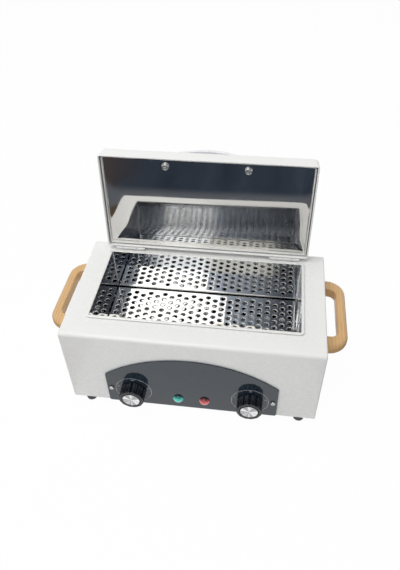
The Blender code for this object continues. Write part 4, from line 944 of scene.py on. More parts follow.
# A paler, part-diffuse copy of the steel for the liner's hems and the tank's rim bead: painted light standing in for
# their bright reflections.
SATIN_HEM_PAINTED_LIGHT = SheetSteel("satin hem, painted light", (0.84, 0.84, 0.82), 0.40, stain_amount=0.1, metallic=0.3)
HIDDEN: dict[Slot, Sequence[str]] = {
    Slot.SCREW_STEEL: ("heating_element", "thermostat_shaft", "timer_shaft"),
    Slot.ZINC_PLATE: ("element_nut_front", "element_nut_rear", "thermostat_unit", "timer_unit", "base_plate"),
    Slot.STAINLESS: ("element_rest_left", "element_rest_right"),
    Slot.INSULATION: ("insulation_jacket", "lid_pad"),
    Slot.DARK_PLASTIC: ("thermal_cutout", "green_lamp_holder", "red_lamp_holder"),
    Slot.CERAMIC: ("terminal_block",),
}
# A lighter, part-diffuse copy of the chamber steel for the right end wall: painted reflection in place of its bright
# glare; its creases are real relief.
CREASED_END_PAINTED_BRIGHT = SheetSteel("creased end wall, painted bright", (0.88, 0.89, 0.91), 0.11, wave=0.0040, wave_scale=27.0, metallic=0.55)
BRUSHED_WALL = SheetSteel("brushed front wall", (0.70, 0.74, 0.80), 0.09, wave=0.00010, wave_scale=22.0)


@dataclass(frozen=True)
class Sizes:
    """The sizes that more than one sub-assembly needs, in metres."""

    casing_width: float = 0.300
    casing_depth: float = 0.168
    casing_height: float = 0.116
    sheet: float = 0.0012
    seat_gap: float = 0.0003
    hole_clearance: float = 0.0003
    rim_width: float = 0.250
    rim_depth: float = 0.1205
    rim_band: float = 0.0034
    rim_corner: float = 0.0045
    set_back: float = 0.0039
    tank_sheet: float = 0.0008
    tank_floor: float = 0.036
    grid_level: float = 0.057
    knuckle_radius: float = 0.0024
    hinge_behind_rim: float = 0.0055
    control_spacing: float = 0.141
    control_level: float = 0.0255
    lamp_spacing: float = 0.032
    lamp_level: float = 0.0172
    panel_sheet: float = 0.0015
    panel_screw_spacing: float = 0.1955
    panel_screw_level: float = 0.0268
    knob_bore: float = 0.0049
    lamp_bore: float = 0.0043
    panel_screw_bore: float = 0.0018
    inlet_offset: float = 0.095
    inlet_level: float = 0.0165
    inlet_body: Point = (0.0275, 0.0200)
    inlet_screw_spacing: float = 0.040
    screw_diameter: float = 0.0030
    screw_head: float = 0.0056
    screw_head_height: float = 0.0020

    @property
    def tank_half_width(self) -> float:
        """Half the chamber's clear width."""
        return self.rim_width / 2 - self.rim_band

    @property
    def tank_half_depth(self) -> float:
        """Half the chamber's clear depth."""
        return self.rim_depth / 2 - self.rim_band

    @property
    def panel_face(self) -> float:
        """How far the panel's face lies in front of the casing's middle."""
        return self.casing_depth / 2 + self.seat_gap + self.panel_sheet

    @property
    def front_spots(self) -> list[tuple[list[Point], float]]:
        """The places of knobs, lamps and panel screws, each kind with its bore's radius."""
        return [
            (pair(self.control_spacing, self.control_level), self.knob_bore),
            (pair(self.lamp_spacing, self.lamp_level), self.lamp_bore),
            (pair(self.panel_screw_spacing, self.panel_screw_level), self.panel_screw_bore),
        ]

    @property
    def hinge_axis(self) -> Vector:
        """The hinge axis, from the middle of the casing's lower edge."""
        back = self.set_back + self.rim_depth / 2 + self.hinge_behind_rim
        return Vector((0.0, back, self.casing_height + self.seat_gap + self.knuckle_radius))


SIZES = Sizes()


class Shop:
    """Where every piece is finished: its material, its body and its place."""

    def __init__(self, open_angle: float) -> None:
        """Reads where the bodies stand from the solids.

        Args:
            open_angle: How far the lid stands open at rest, in radians.
        """
        self.effects = Effects()
        self.materials: dict[Any, bpy.types.Material] = {}
        low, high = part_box("outer_casing")
        self.body = at((low.x + high.x) / 2, (low.y + high.y) / 2, low.z)
        self.lid = self.body @ at(*SIZES.hinge_axis) @ Matrix.Rotation(-open_angle, 4, "X")

    def material(self, key: Slot | Finish) -> bpy.types.Material:
        """The material of a slot, or of a finish that has no slot of its own."""
        if key not in self.materials:
            finish = FINISHES[key] if isinstance(key, Slot) else key
            self.materials[key] = finish.material(self.effects)
        return self.materials[key]

    def add(
        self,
        name: str,
        form: Form,
        slot_name: Slot,
        body: str,
        stands_for: Sequence[str] = (),
        place: Matrix | None = None,
        soften: float = 0.0,
        finish: Finish | None = None,
    ) -> bpy.types.Object:
        """Makes a piece from a form and fits it to its body.

        Args:
            name: The piece's name.
            form: Its shape, in the coordinates of its place.
            slot_name: The material slot it belongs to.
            body: The body it moves with.
            stands_for: The solids that it is shown for.
            place: Where it lies, or None where it belongs with the casing.
            soften: How far its sharp edges are broken.
            finish: A finish of its own instead of the slot's.

        Returns:
            The piece.
        """
        mesh = form.finished(name)
        mesh.materials.append(self.material(finish or slot_name))
        mesh.shade_smooth()
        mesh.set_sharp_from_angle(angle=SMOOTH_ANGLE)
        made = bpy.data.objects.new(name, mesh)
        bpy.context.scene.collection.objects.link(made)
        made.matrix_world = self.body if place is None else place
        if soften > 0:
            edge = made.modifiers.new("broken edges", "BEVEL")
            edge.width = soften
            edge.segments = 2
            edge.limit_method = "ANGLE"
            edge.angle_limit = SMOOTH_ANGLE
            edge.harden_normals = True
        even = made.modifiers.new("even shading", "WEIGHTED_NORMAL")
        even.keep_sharp = True
        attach(made, body)
        if stands_for:
            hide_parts(*stands_for)
        self.report(made, stands_for)
        return made

    def dress_part(self, made: bpy.types.Object, finish: Finish, chosen: Callable[[Vector], bool]) -> None:
        """Gives some of a piece's faces another finish.

        Args:
            made: The piece.
            finish: The finish.
            chosen: Whether a face is one of them, by its middle in the piece's own coordinates.
        """
        made.data.materials.append(self.material(finish))
        for face in made.data.polygons:
            if chosen(face.center):
                face.material_index = len(made.data.materials) - 1

    def report(self, made: bpy.types.Object, stands_for: Sequence[str]) -> None:
        """Logs a piece, and how far its box is from that of the solids it is shown for."""
        corners = [made.matrix_world @ Vector(corner) for corner in made.bound_box]
        if not stands_for:
            LOG.info("%s: %d faces", made.name, len(made.data.polygons))
            return
        boxes = [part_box(node) for node in stands_for]
        off = 0.0
        for axis in range(3):
            low = min(corner[axis] for corner in corners) - min(box[0][axis] for box in boxes)
            high = max(corner[axis] for corner in corners) - max(box[1][axis] for box in boxes)
            off = max(off, abs(low), abs(high))
        LOG.info("%s: %d faces, %.2f mm off its solid's box", made.name, len(made.data.polygons), off * 1000)

    def dress(self, nodes: Iterable[str], slot_name: Slot) -> None:
        """Gives solids that stay in view a slot's material."""
        for node in nodes:
            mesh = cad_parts[node].data
            mesh.materials.clear()
            mesh.materials.append(self.material(slot_name))
            mesh.shade_smooth()
            mesh.set_sharp_from_angle(angle=SMOOTH_ANGLE)
            LOG.info("%s: dressed in %s", node, slot_name.value)


@dataclass
class PanScrew:
    """A pan head screw with a cross recess, along Z with its seat at zero."""

    diameter: float = SIZES.screw_diameter
    head: float = SIZES.screw_head
    head_height: float = SIZES.screw_head_height
    length: float = 0.0060
    sides: int = 40
    cross_width: float = 0.0009
    cross_depth: float = 0.0009
    cross_span: float = 0.56

    def form(self) -> Form:
        """The screw: a domed head, a threaded looking shank, and the recess cut into the head."""
        top, rim = self.head / 2, self.head_height
        shank = self.diameter / 2
        profile: list[Point] = [(0, -self.length), (shank * 0.8, -self.length)]
        profile += [(shank, -self.length + self.diameter * 0.15), (shank, 0), (top * 0.97, 0), (top, rim * 0.08)]
        for turn in turns(10)[:-1]:
            profile.append((top * (0.42 + 0.58 * math.cos(turn) ** 0.75), rim * (0.30 + 0.70 * math.sin(turn))))
        made = Form.turned([*profile, (0.0, rim)], self.sides)
        arm, reach = self.cross_width / 2, self.head * self.cross_span / 2
        quarter = [(reach, -arm), (reach, arm), (arm, arm)]
        outline: list[Point] = []
        for _ in range(4):
            outline += quarter
            quarter = [(-y, x) for x, y in quarter]
        low = [Vector((x * 0.62, y * 0.62, rim - self.cross_depth)) for x, y in outline]
        high = [Vector((x * 1.15, y * 1.15, rim + self.cross_depth * 0.4)) for x, y in outline]
        return made.combined([Form.loft([low, high])])

    def fit(self, shop: Shop, name: str, body: str, solid: str, place: Matrix) -> None:
        """Makes one such screw.

        Args:
            shop: Where it is finished.
            name: The piece's name.
            body: The body it moves with.
            solid: The solid it is shown for.
            place: Where its seat lies, with Z out of the seat.
        """
        shop.add(name, self.form(), Slot.SCREW_STEEL, body, [solid], place)


@dataclass
class Casing:
    """The white sheet metal box with its base, feet and rear openings."""

    top_bend: float = 0.0045
    end_bend: float = 0.0018
    lip_width: float = 0.014
    base_sheet: float = 0.0012
    bend_steps: int = 10
    end_steps: int = 6
    overrun: float = 0.004
    tank_clearance: float = 0.0006
    inlet_corner: float = 0.0016
    vent_count: int = 6
    vent_offset: float = -0.060
    vent_level: float = 0.034
    vent_pitch: float = 0.0085
    vent_length: float = 0.020
    vent_width: float = 0.0030
    foot_height: float = 0.012
    foot_diameter: float = 0.0150
    foot_inset: float = 0.0190
    foot_front_inset: float = 0.0090
    foot_recess: float = 0.0045

    def section(self, x: float, inset: float, bend: float, low: float) -> list[Vector]:
        """The wrap's cross section at one station along the width.

        Args:
            x: The station.
            inset: How far it lies inside the outer faces.
            bend: The radius of its two bends.
            low: Its lower edge's level.

        Returns:
            The ring of points.
        """
        half, top = SIZES.casing_depth / 2 - inset, SIZES.casing_height - inset
        front = arc((-half + bend, top - bend), bend, math.pi, math.pi / 2, self.bend_steps)
        back = arc((half - bend, top - bend), bend, math.pi / 2, 0, self.bend_steps)
        return [Vector((x, y, z)) for y, z in [(-half, low), *front, *back, (half, low)]]

    def shell(self) -> Form:
        """The outer form, with its ends rounded over."""
        half = SIZES.casing_width / 2
        bend = self.end_bend
        angles = turns(self.end_steps)
        stations = [(half - bend * (1 - math.cos(turn)), bend * (1 - math.sin(turn))) for turn in angles]
        both = [(-x, inset) for x, inset in stations] + stations[::-1]
        return Form.loft([self.section(x, inset, self.top_bend - inset / 2, 0.0) for x, inset in both])

    def inner_cuts(self) -> list[Form]:
        """What is taken out below the top: the hollow, the base's recess and the way in."""
        gap, sheet = SIZES.seat_gap, SIZES.sheet
        inside, deep = SIZES.casing_width / 2 - sheet, SIZES.casing_depth / 2 - sheet
        lip = self.base_sheet + 2 * gap
        hollow = Form.loft([self.section(x, sheet, self.top_bend - sheet, lip + sheet) for x in (-inside, inside)])
        recess = Form.box((-inside, -deep, -self.overrun), (inside, deep, lip))
        way_x, way_y = inside - self.lip_width, deep - self.lip_width
        way = Form.box((-way_x, -way_y, -self.overrun), (way_x, way_y, lip + sheet + self.overrun))
        return [hollow, recess, way]

    def openings(self) -> list[Form]:
        """The chamber's opening, the front bores, the inlet's hole and the vents."""
        clear = SIZES.tank_sheet + self.tank_clearance
        top = Form.prism(
            rounded_rectangle(
                SIZES.tank_half_width + clear,
                SIZES.tank_half_depth + clear,
                SIZES.rim_corner - SIZES.rim_band + clear,
                (0, SIZES.set_back),
            ),
            SIZES.casing_height - SIZES.sheet - self.overrun,
            SIZES.casing_height + self.overrun,
        )
        clearance = SIZES.hole_clearance
        half_x, half_y = (size / 2 + clearance for size in SIZES.inlet_body)
        middle = (-SIZES.inlet_offset, SIZES.inlet_level)
        screws = pair(SIZES.inlet_screw_spacing, SIZES.inlet_level, -SIZES.inlet_offset)
        front = [circle(radius, 24, spot) for spots, radius in SIZES.front_spots for spot in spots]
        rear = [rounded_rectangle(half_x, half_y, self.inlet_corner, middle)]
        rear += [circle(SIZES.screw_diameter / 2 + clearance, 16, spot) for spot in screws]
        for i in range(self.vent_count):
            across = -self.vent_offset + (i - (self.vent_count - 1) / 2) * self.vent_pitch
            rear.append(slot(self.vent_length, self.vent_width, (across, self.vent_level)))
        made = [top]
        for outlines, side, facing in ((front, -1, FRONT_FACING), (rear, 1, REAR_FACING)):
            wall = at(y=side * SIZES.casing_depth / 2) @ facing
            made += [Form.prism(outline, -self.overrun, self.overrun).placed(wall) for outline in outlines]
        return made

    def foot_form(self) -> Form:
        """A turned rubber foot with a screw well below and a softly rounded tread."""
        top, well = self.foot_diameter / 2, SIZES.screw_head / 2 + SIZES.seat_gap
        bore = SIZES.screw_diameter / 2 + SIZES.hole_clearance
        low, edge = top - 0.0008, 0.0016
        head = -SIZES.seat_gap / 2
        profile = [(bore, head), (top - 0.0004, head), (top, head - 0.0004), (top - 0.0001, head - 0.003)]
        profile += [(top - 0.0006, head - 0.0034), (top - 0.0006, head - 0.0040), (top - 0.0002, head - 0.0044)]
        profile += arc((low - edge, -self.foot_height + edge), edge, 0, -math.pi / 2, 6)
        foot, seat = -self.foot_height, self.foot_recess - self.foot_height
        profile += [(well + 0.0005, foot), (well, foot + 0.0005), (well, seat), (bore, seat)]
        return Form.ring(profile)

    def build(self, shop: Shop) -> None:
        """Makes the casing, its feet and their screws."""
        shell = self.shell().combined(self.inner_cuts()).combined(self.openings())
        shop.add("casing_wrap", shell, Slot.WHITE_PAINT, "body", ["outer_casing"])
        half_x = SIZES.casing_width / 2 - self.foot_inset
        half_y = SIZES.casing_depth / 2 - self.foot_front_inset
        grip = self.foot_height - self.foot_recess + self.base_sheet + 3 * SIZES.seat_gap + SIZES.sheet
        for end, y in (("front", -half_y), ("rear", half_y)):
            for side, x in (("left", -half_x), ("right", half_x)):
                spot, which = shop.body @ at(x, y), f"{end}_{side}"
                shop.add(f"rubber_foot_{which}", self.foot_form(), Slot.RUBBER, "body", [f"foot_{which}"], spot)
                seat = spot @ at(z=self.foot_recess - self.foot_height - SIZES.seat_gap)
                place = seat @ Matrix.Rotation(math.pi, 4, "X")
                PanScrew(length=grip).fit(shop, f"foot_bolt_{which}", "body", f"foot_screw_{which}", place)


@dataclass
class Chamber:
    """The stainless tank with its rolled rim, and the drilled floor in it."""

    rim_height: float = 0.0020
    rim_lip: float = 0.0006
    draft: float = 0.0008
    overrun: float = 0.004
    fillet: float = 0.0025
    corner_steps: int = 8
    hole_diameter: float = 0.0058
    hole_pitch: float = 0.0098
    columns: int = 24
    rows: int = 10
    hole_edge: float = 0.0007
    floor_sheet: float = 0.0010
    floor_bend: float = 0.0008
    side_gap: float = 0.0012
    front_gap: float = 0.0014
    flange_lean: float = 0.0012
    element_level: float = 0.0105
    element_spacing: float = 0.050
    element_diameter: float = 0.0064

    def outline(self, z: float, grow: float, corner: float) -> list[Vector]:
        """An outline round the chamber at one height, grown outwards from its inner wall."""
        width, depth = SIZES.tank_half_width + grow, SIZES.tank_half_depth + grow
        return raised(rounded_rectangle(width, depth, corner, (0, SIZES.set_back), self.corner_steps), z)

    def tank(self) -> Form:
        """The drawn tank: walls with a little draft, a filleted floor and a rolled bead on top."""
        wall, fillet = SIZES.tank_sheet, self.fillet
        inner = SIZES.rim_corner - SIZES.rim_band
        floor, seat = SIZES.tank_floor, SIZES.casing_height + SIZES.seat_gap
        band, bead = SIZES.rim_band, self.rim_height / 2
        rings = [self.outline(floor - wall, wall - self.draft - fillet, inner)]
        for turn in turns(5)[1:]:
            out = wall - self.draft - fillet * (1 - math.sin(turn))
            rings.append(self.outline(floor - wall + fillet * (1 - math.cos(turn)), out, inner + wall))
        rings += [self.outline(seat, wall, inner + wall), self.outline(seat, band - bead, SIZES.rim_corner - bead)]
        for turn in turns(8, -math.pi / 2, math.pi / 2)[1:]:
            grow = band - bead + bead * math.cos(turn)
            rings.append(self.outline(seat + bead + bead * math.sin(turn), grow, SIZES.rim_corner - band + grow))
        top = seat + self.rim_height
        lip = self.rim_lip
        for turn in turns(4, math.pi / 2, math.pi):
            grow = lip + lip * math.cos(turn)
            rings.append(self.outline(top - lip + lip * math.sin(turn), grow, inner + grow))
        for turn in turns(5):
            out = -self.draft - fillet * (1 - math.cos(turn))
            rings.append(self.outline(floor + fillet - fillet * math.sin(turn), out, inner))
        sideways = Matrix.Rotation(math.pi / 2, 4, "Y")
        radius, end = self.element_diameter / 2 + SIZES.hole_clearance, SIZES.tank_half_width
        bores = []
        for across, level in pair(self.element_spacing, -(floor + self.element_level), SIZES.set_back):
            bore = Form.prism(circle(radius, 20, (level, across)), end - self.overrun, end + self.overrun)
            bores.append(bore.placed(sideways))
        return Form.loft(rings).combined(bores)

    def holes(self) -> list[Point]:
        """Each column's left edge, and where its first hole's cell starts from the front."""
        first, shift = SIZES.set_back - self.rows / 2 * self.hole_pitch, self.hole_pitch / 4
        columns = range(self.columns)
        return [((i - self.columns / 2) * self.hole_pitch, first + (-shift if i % 2 else shift)) for i in columns]

    def cell(self, form: Form, left: float, low: float, top: float) -> None:
        """One hole with its square of sheet: rounded edge above, straight wall, plain edge below.

        Args:
            form: What the faces go to.
            left: The square's left edge.
            low: Its front edge.
            top: The sheet's upper level.
        """
        pitch, step = self.hole_pitch, self.hole_pitch / 4
        centre = Vector((left + pitch / 2, low + pitch / 2, 0))
        edge = [(left + step * i, low) for i in range(4)] + [(left + pitch, low + step * i) for i in range(4)]
        edge += [(left + pitch - step * i, low + pitch) for i in range(4)]
        edge += [(left, low + pitch - step * i) for i in range(4)]
        start = math.radians(225)
        angles = [start + 2 * math.pi * i / 32 for i in range(32)]
        radius, bend, bottom = self.hole_diameter / 2, self.hole_edge, top - self.floor_sheet
        levels = [(radius + bend * (1 - math.sin(turn)), top - bend * (1 - math.cos(turn))) for turn in turns(3)]
        levels.append((radius, bottom))
        rings = [[centre + Vector((r * math.cos(a), r * math.sin(a), z)) for a in angles] for r, z in levels]
        for high, under in zip(rings, rings[1:]):
            for i in range(32):
                form.patch(high[i - 1], high[i], under[i], under[i - 1])
        for ring, level in ((rings[0], top), (rings[-1], bottom)):
            square = raised(edge, level)
            for i in range(16):
                form.patch(square[i], ring[2 * i + 1], ring[2 * i])
                form.patch(square[i], square[(i + 1) % 16], ring[(2 * i + 2) % 32], ring[2 * i + 1])

    def flange_line(self, top: float, low: float) -> list[Point]:
        """The bent flange's section as (distance in from its face, level), upper side first."""
        outer, sheet = self.floor_sheet + self.floor_bend, self.floor_sheet
        line = arc((outer, top - outer), outer, math.pi / 2, math.pi, 6)
        line += [(self.flange_lean, low), (self.flange_lean + sheet, low)]
        return line + arc((outer, top - outer), self.floor_bend, math.pi, math.pi / 2, 6)

    def drilled_floor(self) -> Form:
        """The floor: a sheet with rows of drilled holes, bent down at its front and back."""
        form = Form()
        half_x = SIZES.tank_half_width - self.draft - self.side_gap
        half_y = SIZES.tank_half_depth - self.draft - self.front_gap
        top, low = SIZES.grid_level, SIZES.tank_floor + SIZES.seat_gap
        step = self.hole_pitch / 4
        inset = half_y - self.floor_sheet - self.floor_bend
        middle = SIZES.set_back
        marks = range(-self.columns * 2, self.columns * 2 + 1)
        stations = [-half_x, *(i * step for i in marks), half_x]
        reach = 2 * self.rows + 1
        levels = [middle - inset, *(middle + i * step for i in range(-reach, reach + 1)), middle + inset]
        starts = {round(left / self.hole_pitch): first for left, first in self.holes()}
        for a, b in zip(stations, stations[1:]):
            column = math.floor((a + b) / 2 / self.hole_pitch)
            first = starts.get(column)
            for c, d in zip(levels, levels[1:]):
                if first is not None and first < (c + d) / 2 < first + self.rows * self.hole_pitch:
                    continue
                for level in (top, top - self.floor_sheet):
                    form.patch(*(Vector((x, y, level)) for x, y in ((a, c), (b, c), (b, d), (a, d))))
        for left, first in self.holes():
            for row in range(self.rows):
                self.cell(form, left, first + row * self.hole_pitch, top)
        under = top - self.floor_sheet
        for x in (-half_x, half_x):
            for c, d in zip(levels, levels[1:]):
                form.patch(*(Vector((x, y, z)) for y, z in ((c, under), (d, under), (d, top), (c, top))))
        for side in (-1, 1):
            line = [(middle + side * (half_y - depth), z) for depth, z in self.flange_line(top, low)]
            for a, b in zip(stations, stations[1:]):
                for (y0, z0), (y1, z1) in zip(line, line[1:]):
                    corners = ((a, y0, z0), (b, y0, z0), (b, y1, z1), (a, y1, z1))
                    form.patch(*(Vector(corner) for corner in corners))
            for x in (-half_x, half_x):
                form.patch(*(Vector((x, y, z)) for y, z in line))
        return form.sewn()

    def build(self, shop: Shop) -> None:
        """Makes the tank and its floor, and dresses what lies inside the casing and the lid."""
        tank = shop.add("drawn_tank", self.tank(), Slot.STAINLESS, "body", ["chamber_tank"])
        end, rim, near = SIZES.tank_half_width, SIZES.casing_height, 0.0020
        front = min(corner.co.y for corner in tank.data.vertices if corner.co.z < rim - 0.010) + near
        # The rim bead takes the paler steel: painted light.
        shop.dress_part(tank, SATIN_HEM_PAINTED_LIGHT, lambda place: place.z > rim + 0.0004)
        # The right end wall takes the lighter steel: painted reflection.
        shop.dress_part(
            tank,
            CREASED_END_PAINTED_BRIGHT,
            lambda place: end - near < place.x < end + 0.0001 and SIZES.tank_floor + 0.004 < place.z < rim - 0.001,
        )
        shop.dress_part(tank, BRUSHED_WALL, lambda place: place.y < front and place.z < rim - 0.0040)
        shop.add("drilled_floor", self.drilled_floor(), Slot.STAINLESS, "body", ["perforated_floor"])
        for slot_name, nodes in HIDDEN.items():
            shop.dress(nodes, slot_name)


@dataclass
class ControlPanel:
    """The arched glossy panel with its printed dials, screws and lamps."""

    half_width: float = 0.103
    foot: float = 0.0006
    side_height: float = 0.0515
    height: float = 0.0886
    corner: float = 0.0026
    arch_corner: float = 0.0016
    ring_radius: float = 0.0222
    ring_width: float = 0.00042
    print_height: float = 0.00006
    print_gap: float = 0.00001
    dial_start: float = 240.0
    dial_sweep: float = 300.0
    tick_count: int = 11
    tick_half_width: float = 0.00014
    number_size: float = 0.0030
    number_radius: float = 0.0192
    lamp_diameter: float = 0.0124
    lamp_height: float = 0.0042
    lamp_flange: float = 0.0010
    lamp_stem: float = 0.0080
    numbers: dict[str, Sequence[str]] = field(
        default_factory=lambda: {
            "thermostat": ("0", "50", "100", "150", "200"),
            "timer": ("0", "15", "30", "45", "60"),
        }
    )

    def outline(self) -> list[Point]:
        """The panel's edge: straight foot and sides under a long arc."""
        half, corner, rise = self.half_width, self.corner, self.height - self.side_height
        small, radius = self.arch_corner, (half * half + rise * rise) / (2 * rise)
        centre = self.height - radius
        lift = math.sqrt((radius - small) ** 2 - (half - small) ** 2)
        meet = math.atan2(lift, half - small)
        points = arc((half - corner, self.foot + corner), corner, -math.pi / 2, 0, 6)
        points += arc((half - small, centre + lift), small, 0, meet, 5)
        points += arc((0, centre), radius, meet, math.pi - meet, 72)[1:-1]
        points += arc((small - half, centre + lift), small, math.pi - meet, math.pi, 5)
        return points + arc((corner - half, self.foot + corner), corner, math.pi, 3 * math.pi / 2, 6)

    def dial_turns(self, count: int) -> list[float]:
        """The angles of as many marks, spread evenly over a dial's sweep."""
        return [math.radians(self.dial_start - self.dial_sweep * i / (count - 1)) for i in range(count)]

    def dial_marks(self) -> Form:
        """One printed ring with its ticks, flat on the panel round the origin."""
        outer, inner = self.ring_radius, self.ring_radius - self.ring_width
        low, top, wide = self.print_gap, self.print_height, self.tick_half_width
        made = Form.ring([(inner, low), (outer, low), (outer, top), (inner, top)], 96)
        ticks = []
        for i, turn in enumerate(self.dial_turns(self.tick_count)):
            long = 0.0009 if i % 2 else 0.0016
            tick = Form.box((inner - long, -wide, low), (inner - 0.0002, wide, top))
            ticks.append(tick.placed(Matrix.Rotation(turn, 4, "Z")))
        return made.with_others(ticks)

    def number(self, text: str) -> Form:
        """One printed number, flat and centred on the origin."""
        curve = bpy.data.curves.new("number", "FONT")
        curve.body, curve.size = text, self.number_size
        curve.align_x, curve.align_y = "CENTER", "CENTER"
        curve.extrude, curve.resolution_u = self.print_height / 2, 3
        shown = bpy.data.objects.new("number", curve)
        bpy.context.scene.collection.objects.link(shown)
        mesh = bpy.data.meshes.new_from_object(shown.evaluated_get(bpy.context.evaluated_depsgraph_get()))
        made = Form()
        made.mesh.from_mesh(mesh)
        bpy.data.meshes.remove(mesh)
        bpy.data.curves.remove(curve)
        return made.sewn().placed(at(z=self.print_height / 2 + self.print_gap))

    def lens(self) -> Form:
        """A lamp's lens: a stem through the panel, a flange, and a dome."""
        wide, stem, flange = self.lamp_diameter / 2, self.lamp_stem / 2, self.lamp_flange
        depth = SIZES.panel_face - SIZES.casing_depth / 2 + SIZES.sheet + 2 * SIZES.seat_gap
        profile: list[Point] = [(0, -depth), (stem, -depth), (stem, 0), (wide - 0.0002, 0), (wide, 0.0002)]
        profile += [(wide, flange - 0.0002), (wide - 0.0002, flange), (wide - 0.0007, flange)]
        dome, rise = wide - 0.0007, self.lamp_height - flange
        profile += [(dome * math.cos(turn), flange + rise * math.sin(turn)) for turn in turns(12)[1:-1]]
        return Form.turned([*profile, (0.0, flange + rise)], 56)

    def build(self, shop: Shop) -> None:
        """Makes the panel, its print, its screws and its lamps."""
        back = shop.body @ at(y=-SIZES.casing_depth / 2 - SIZES.seat_gap) @ FRONT_FACING
        face = shop.body @ at(y=-SIZES.panel_face) @ FRONT_FACING
        rows = [(spots, circle(radius, sides)) for (spots, radius), sides in zip(SIZES.front_spots, (40, 40, 24))]
        knobs, lamps, screws = (spots for spots, _ in rows)
        holes = [[(x + u, z + v) for u, v in bore] for spots, bore in rows for x, z in spots]
        plate = Form.sheet(self.outline(), holes, 0, SIZES.panel_sheet)
        shop.add("arched_panel", plate, Slot.PANEL_GREY, "body", ["control_panel"], back, soften=0.00035)
        ink = Ink("white print", (0.62, 0.64, 0.66), 0.4)
        for (control, texts), (x, z) in zip(self.numbers.items(), knobs):
            numbers = []
            for text, turn in zip(texts, self.dial_turns(len(texts))):
                shift = at(self.number_radius * math.cos(turn), self.number_radius * math.sin(turn))
                numbers.append(self.number(text).placed(shift))
            printed = self.dial_marks().with_others(numbers)
            shop.add(f"{control}_dial_print", printed, Slot.PANEL_GREY, "body", place=face @ at(x, z), finish=ink)
        for (x, z), side in zip(screws, ("left", "right")):
            place = face @ at(x, z, SIZES.seat_gap)
            PanScrew().fit(shop, f"panel_pan_screw_{side}", "body", f"panel_screw_{side}", place)
        for (x, z), slot_name in zip(lamps, (Slot.GREEN_LENS, Slot.RED_LENS)):
            place = face @ at(x, z, SIZES.seat_gap)
            solid = slot_name.value.replace("_", "_lamp_")
            shop.add(slot_name.value, self.lens(), slot_name, "body", [solid], place)


@dataclass
class Knob:
    """A fluted knob with a pointer groove and a spun cap, on its shaft."""

    control: str
    x: float
    diameter: float = 0.0310
    height: float = 0.0142
    gap: float = 0.0010
    flutes: int = 12
    flute_depth: float = 0.0012
    chamfer: float = 0.0011
    cap_diameter: float = 0.0224
    cap_thickness: float = 0.0012
    cap_dish: float = 0.0004
    points_per_flute: int = 14
    taper: float = 0.0003
    bore_radius: float = 0.0033
    bore_end: float = 0.0045
    mark_half_width: float = 0.0006
    overrun: float = 0.004

    def fluted(self, reach: float, z: float, share: float = 1.0) -> list[Vector]:
        """A ring with its flutes sunk by a share of their depth."""
        points, count = [], self.flutes * self.points_per_flute
        for i in range(count):
            turn = 2 * math.pi * i / count
            dip = self.flute_depth * share * (1 - abs(math.sin(self.flutes * turn / 2))) ** 1.6
            points.append(Vector(((reach - dip) * math.cos(turn), (reach - dip) * math.sin(turn), z)))
        return points

    def grip(self) -> Form:
        """The knob's black body."""
        radius, well = self.diameter / 2, self.cap_diameter / 2 + SIZES.hole_clearance
        low, top, chamfer = self.gap, self.gap + self.height, self.chamfer
        edge = radius - self.taper
        steps = [(radius - 0.0006, low, 1.0), (radius - 0.0002, low + 0.0002, 1.0), (radius, low + 0.0006, 1.0)]
        for i, turn in enumerate(turns(5)):
            steps.append((edge - chamfer * (1 - math.cos(turn)), top - chamfer * (1 - math.sin(turn)), 1 - i / 5))
        steps += [(well + self.taper, top, 0.0), (well, top - self.taper, 0.0)]
        steps.append((well, top - self.cap_thickness, 0.0))
        body = Form.loft([self.fluted(*step) for step in steps])
        below, deep, bore, line = low - self.overrun, top - self.bore_end, self.bore_radius, self.mark_half_width
        hole = Form.turned([(0, below), (bore, below), (bore, deep), (0, deep)], 32)
        mark = Form.box((-line, well + 2 * line, top - line), (line, radius + self.overrun, top + self.overrun))
        return body.combined([hole, mark])

    def cap(self) -> Form:
        """The spun cap: a flat face inside a raised, rounded rim."""
        rim, top, dish = self.cap_diameter / 2, self.gap + self.height, self.cap_dish
        low = top - self.cap_thickness + SIZES.seat_gap
        profile: list[Point] = [(0, low), (rim, low), (rim, top + dish * 0.3)]
        for turn in turns(6, 0.0, math.pi):
            profile.append((rim - dish + dish * math.cos(turn), top + dish * 0.3 + dish * 0.7 * math.sin(turn)))
        low = top - dish * 0.15
        profile += [(rim - 3 * dish, top), (rim * 0.6, top - dish * 0.1), (rim * 0.25, low), (0, low)]
        return Form.turned(profile, 96)

    def build(self, shop: Shop) -> None:
        """Makes the knob and its cap."""
        place = shop.body @ at(self.x, -SIZES.panel_face, SIZES.control_level) @ FRONT_FACING
        name = self.control
        shop.add(f"{name}_grip", self.grip(), Slot.KNOB_BLACK, name, [f"{name}_knob"], place)
        shop.add(f"{name}_cap", self.cap(), Slot.SPUN_ALUMINIUM, name, [f"{name}_knob_cap"], place)


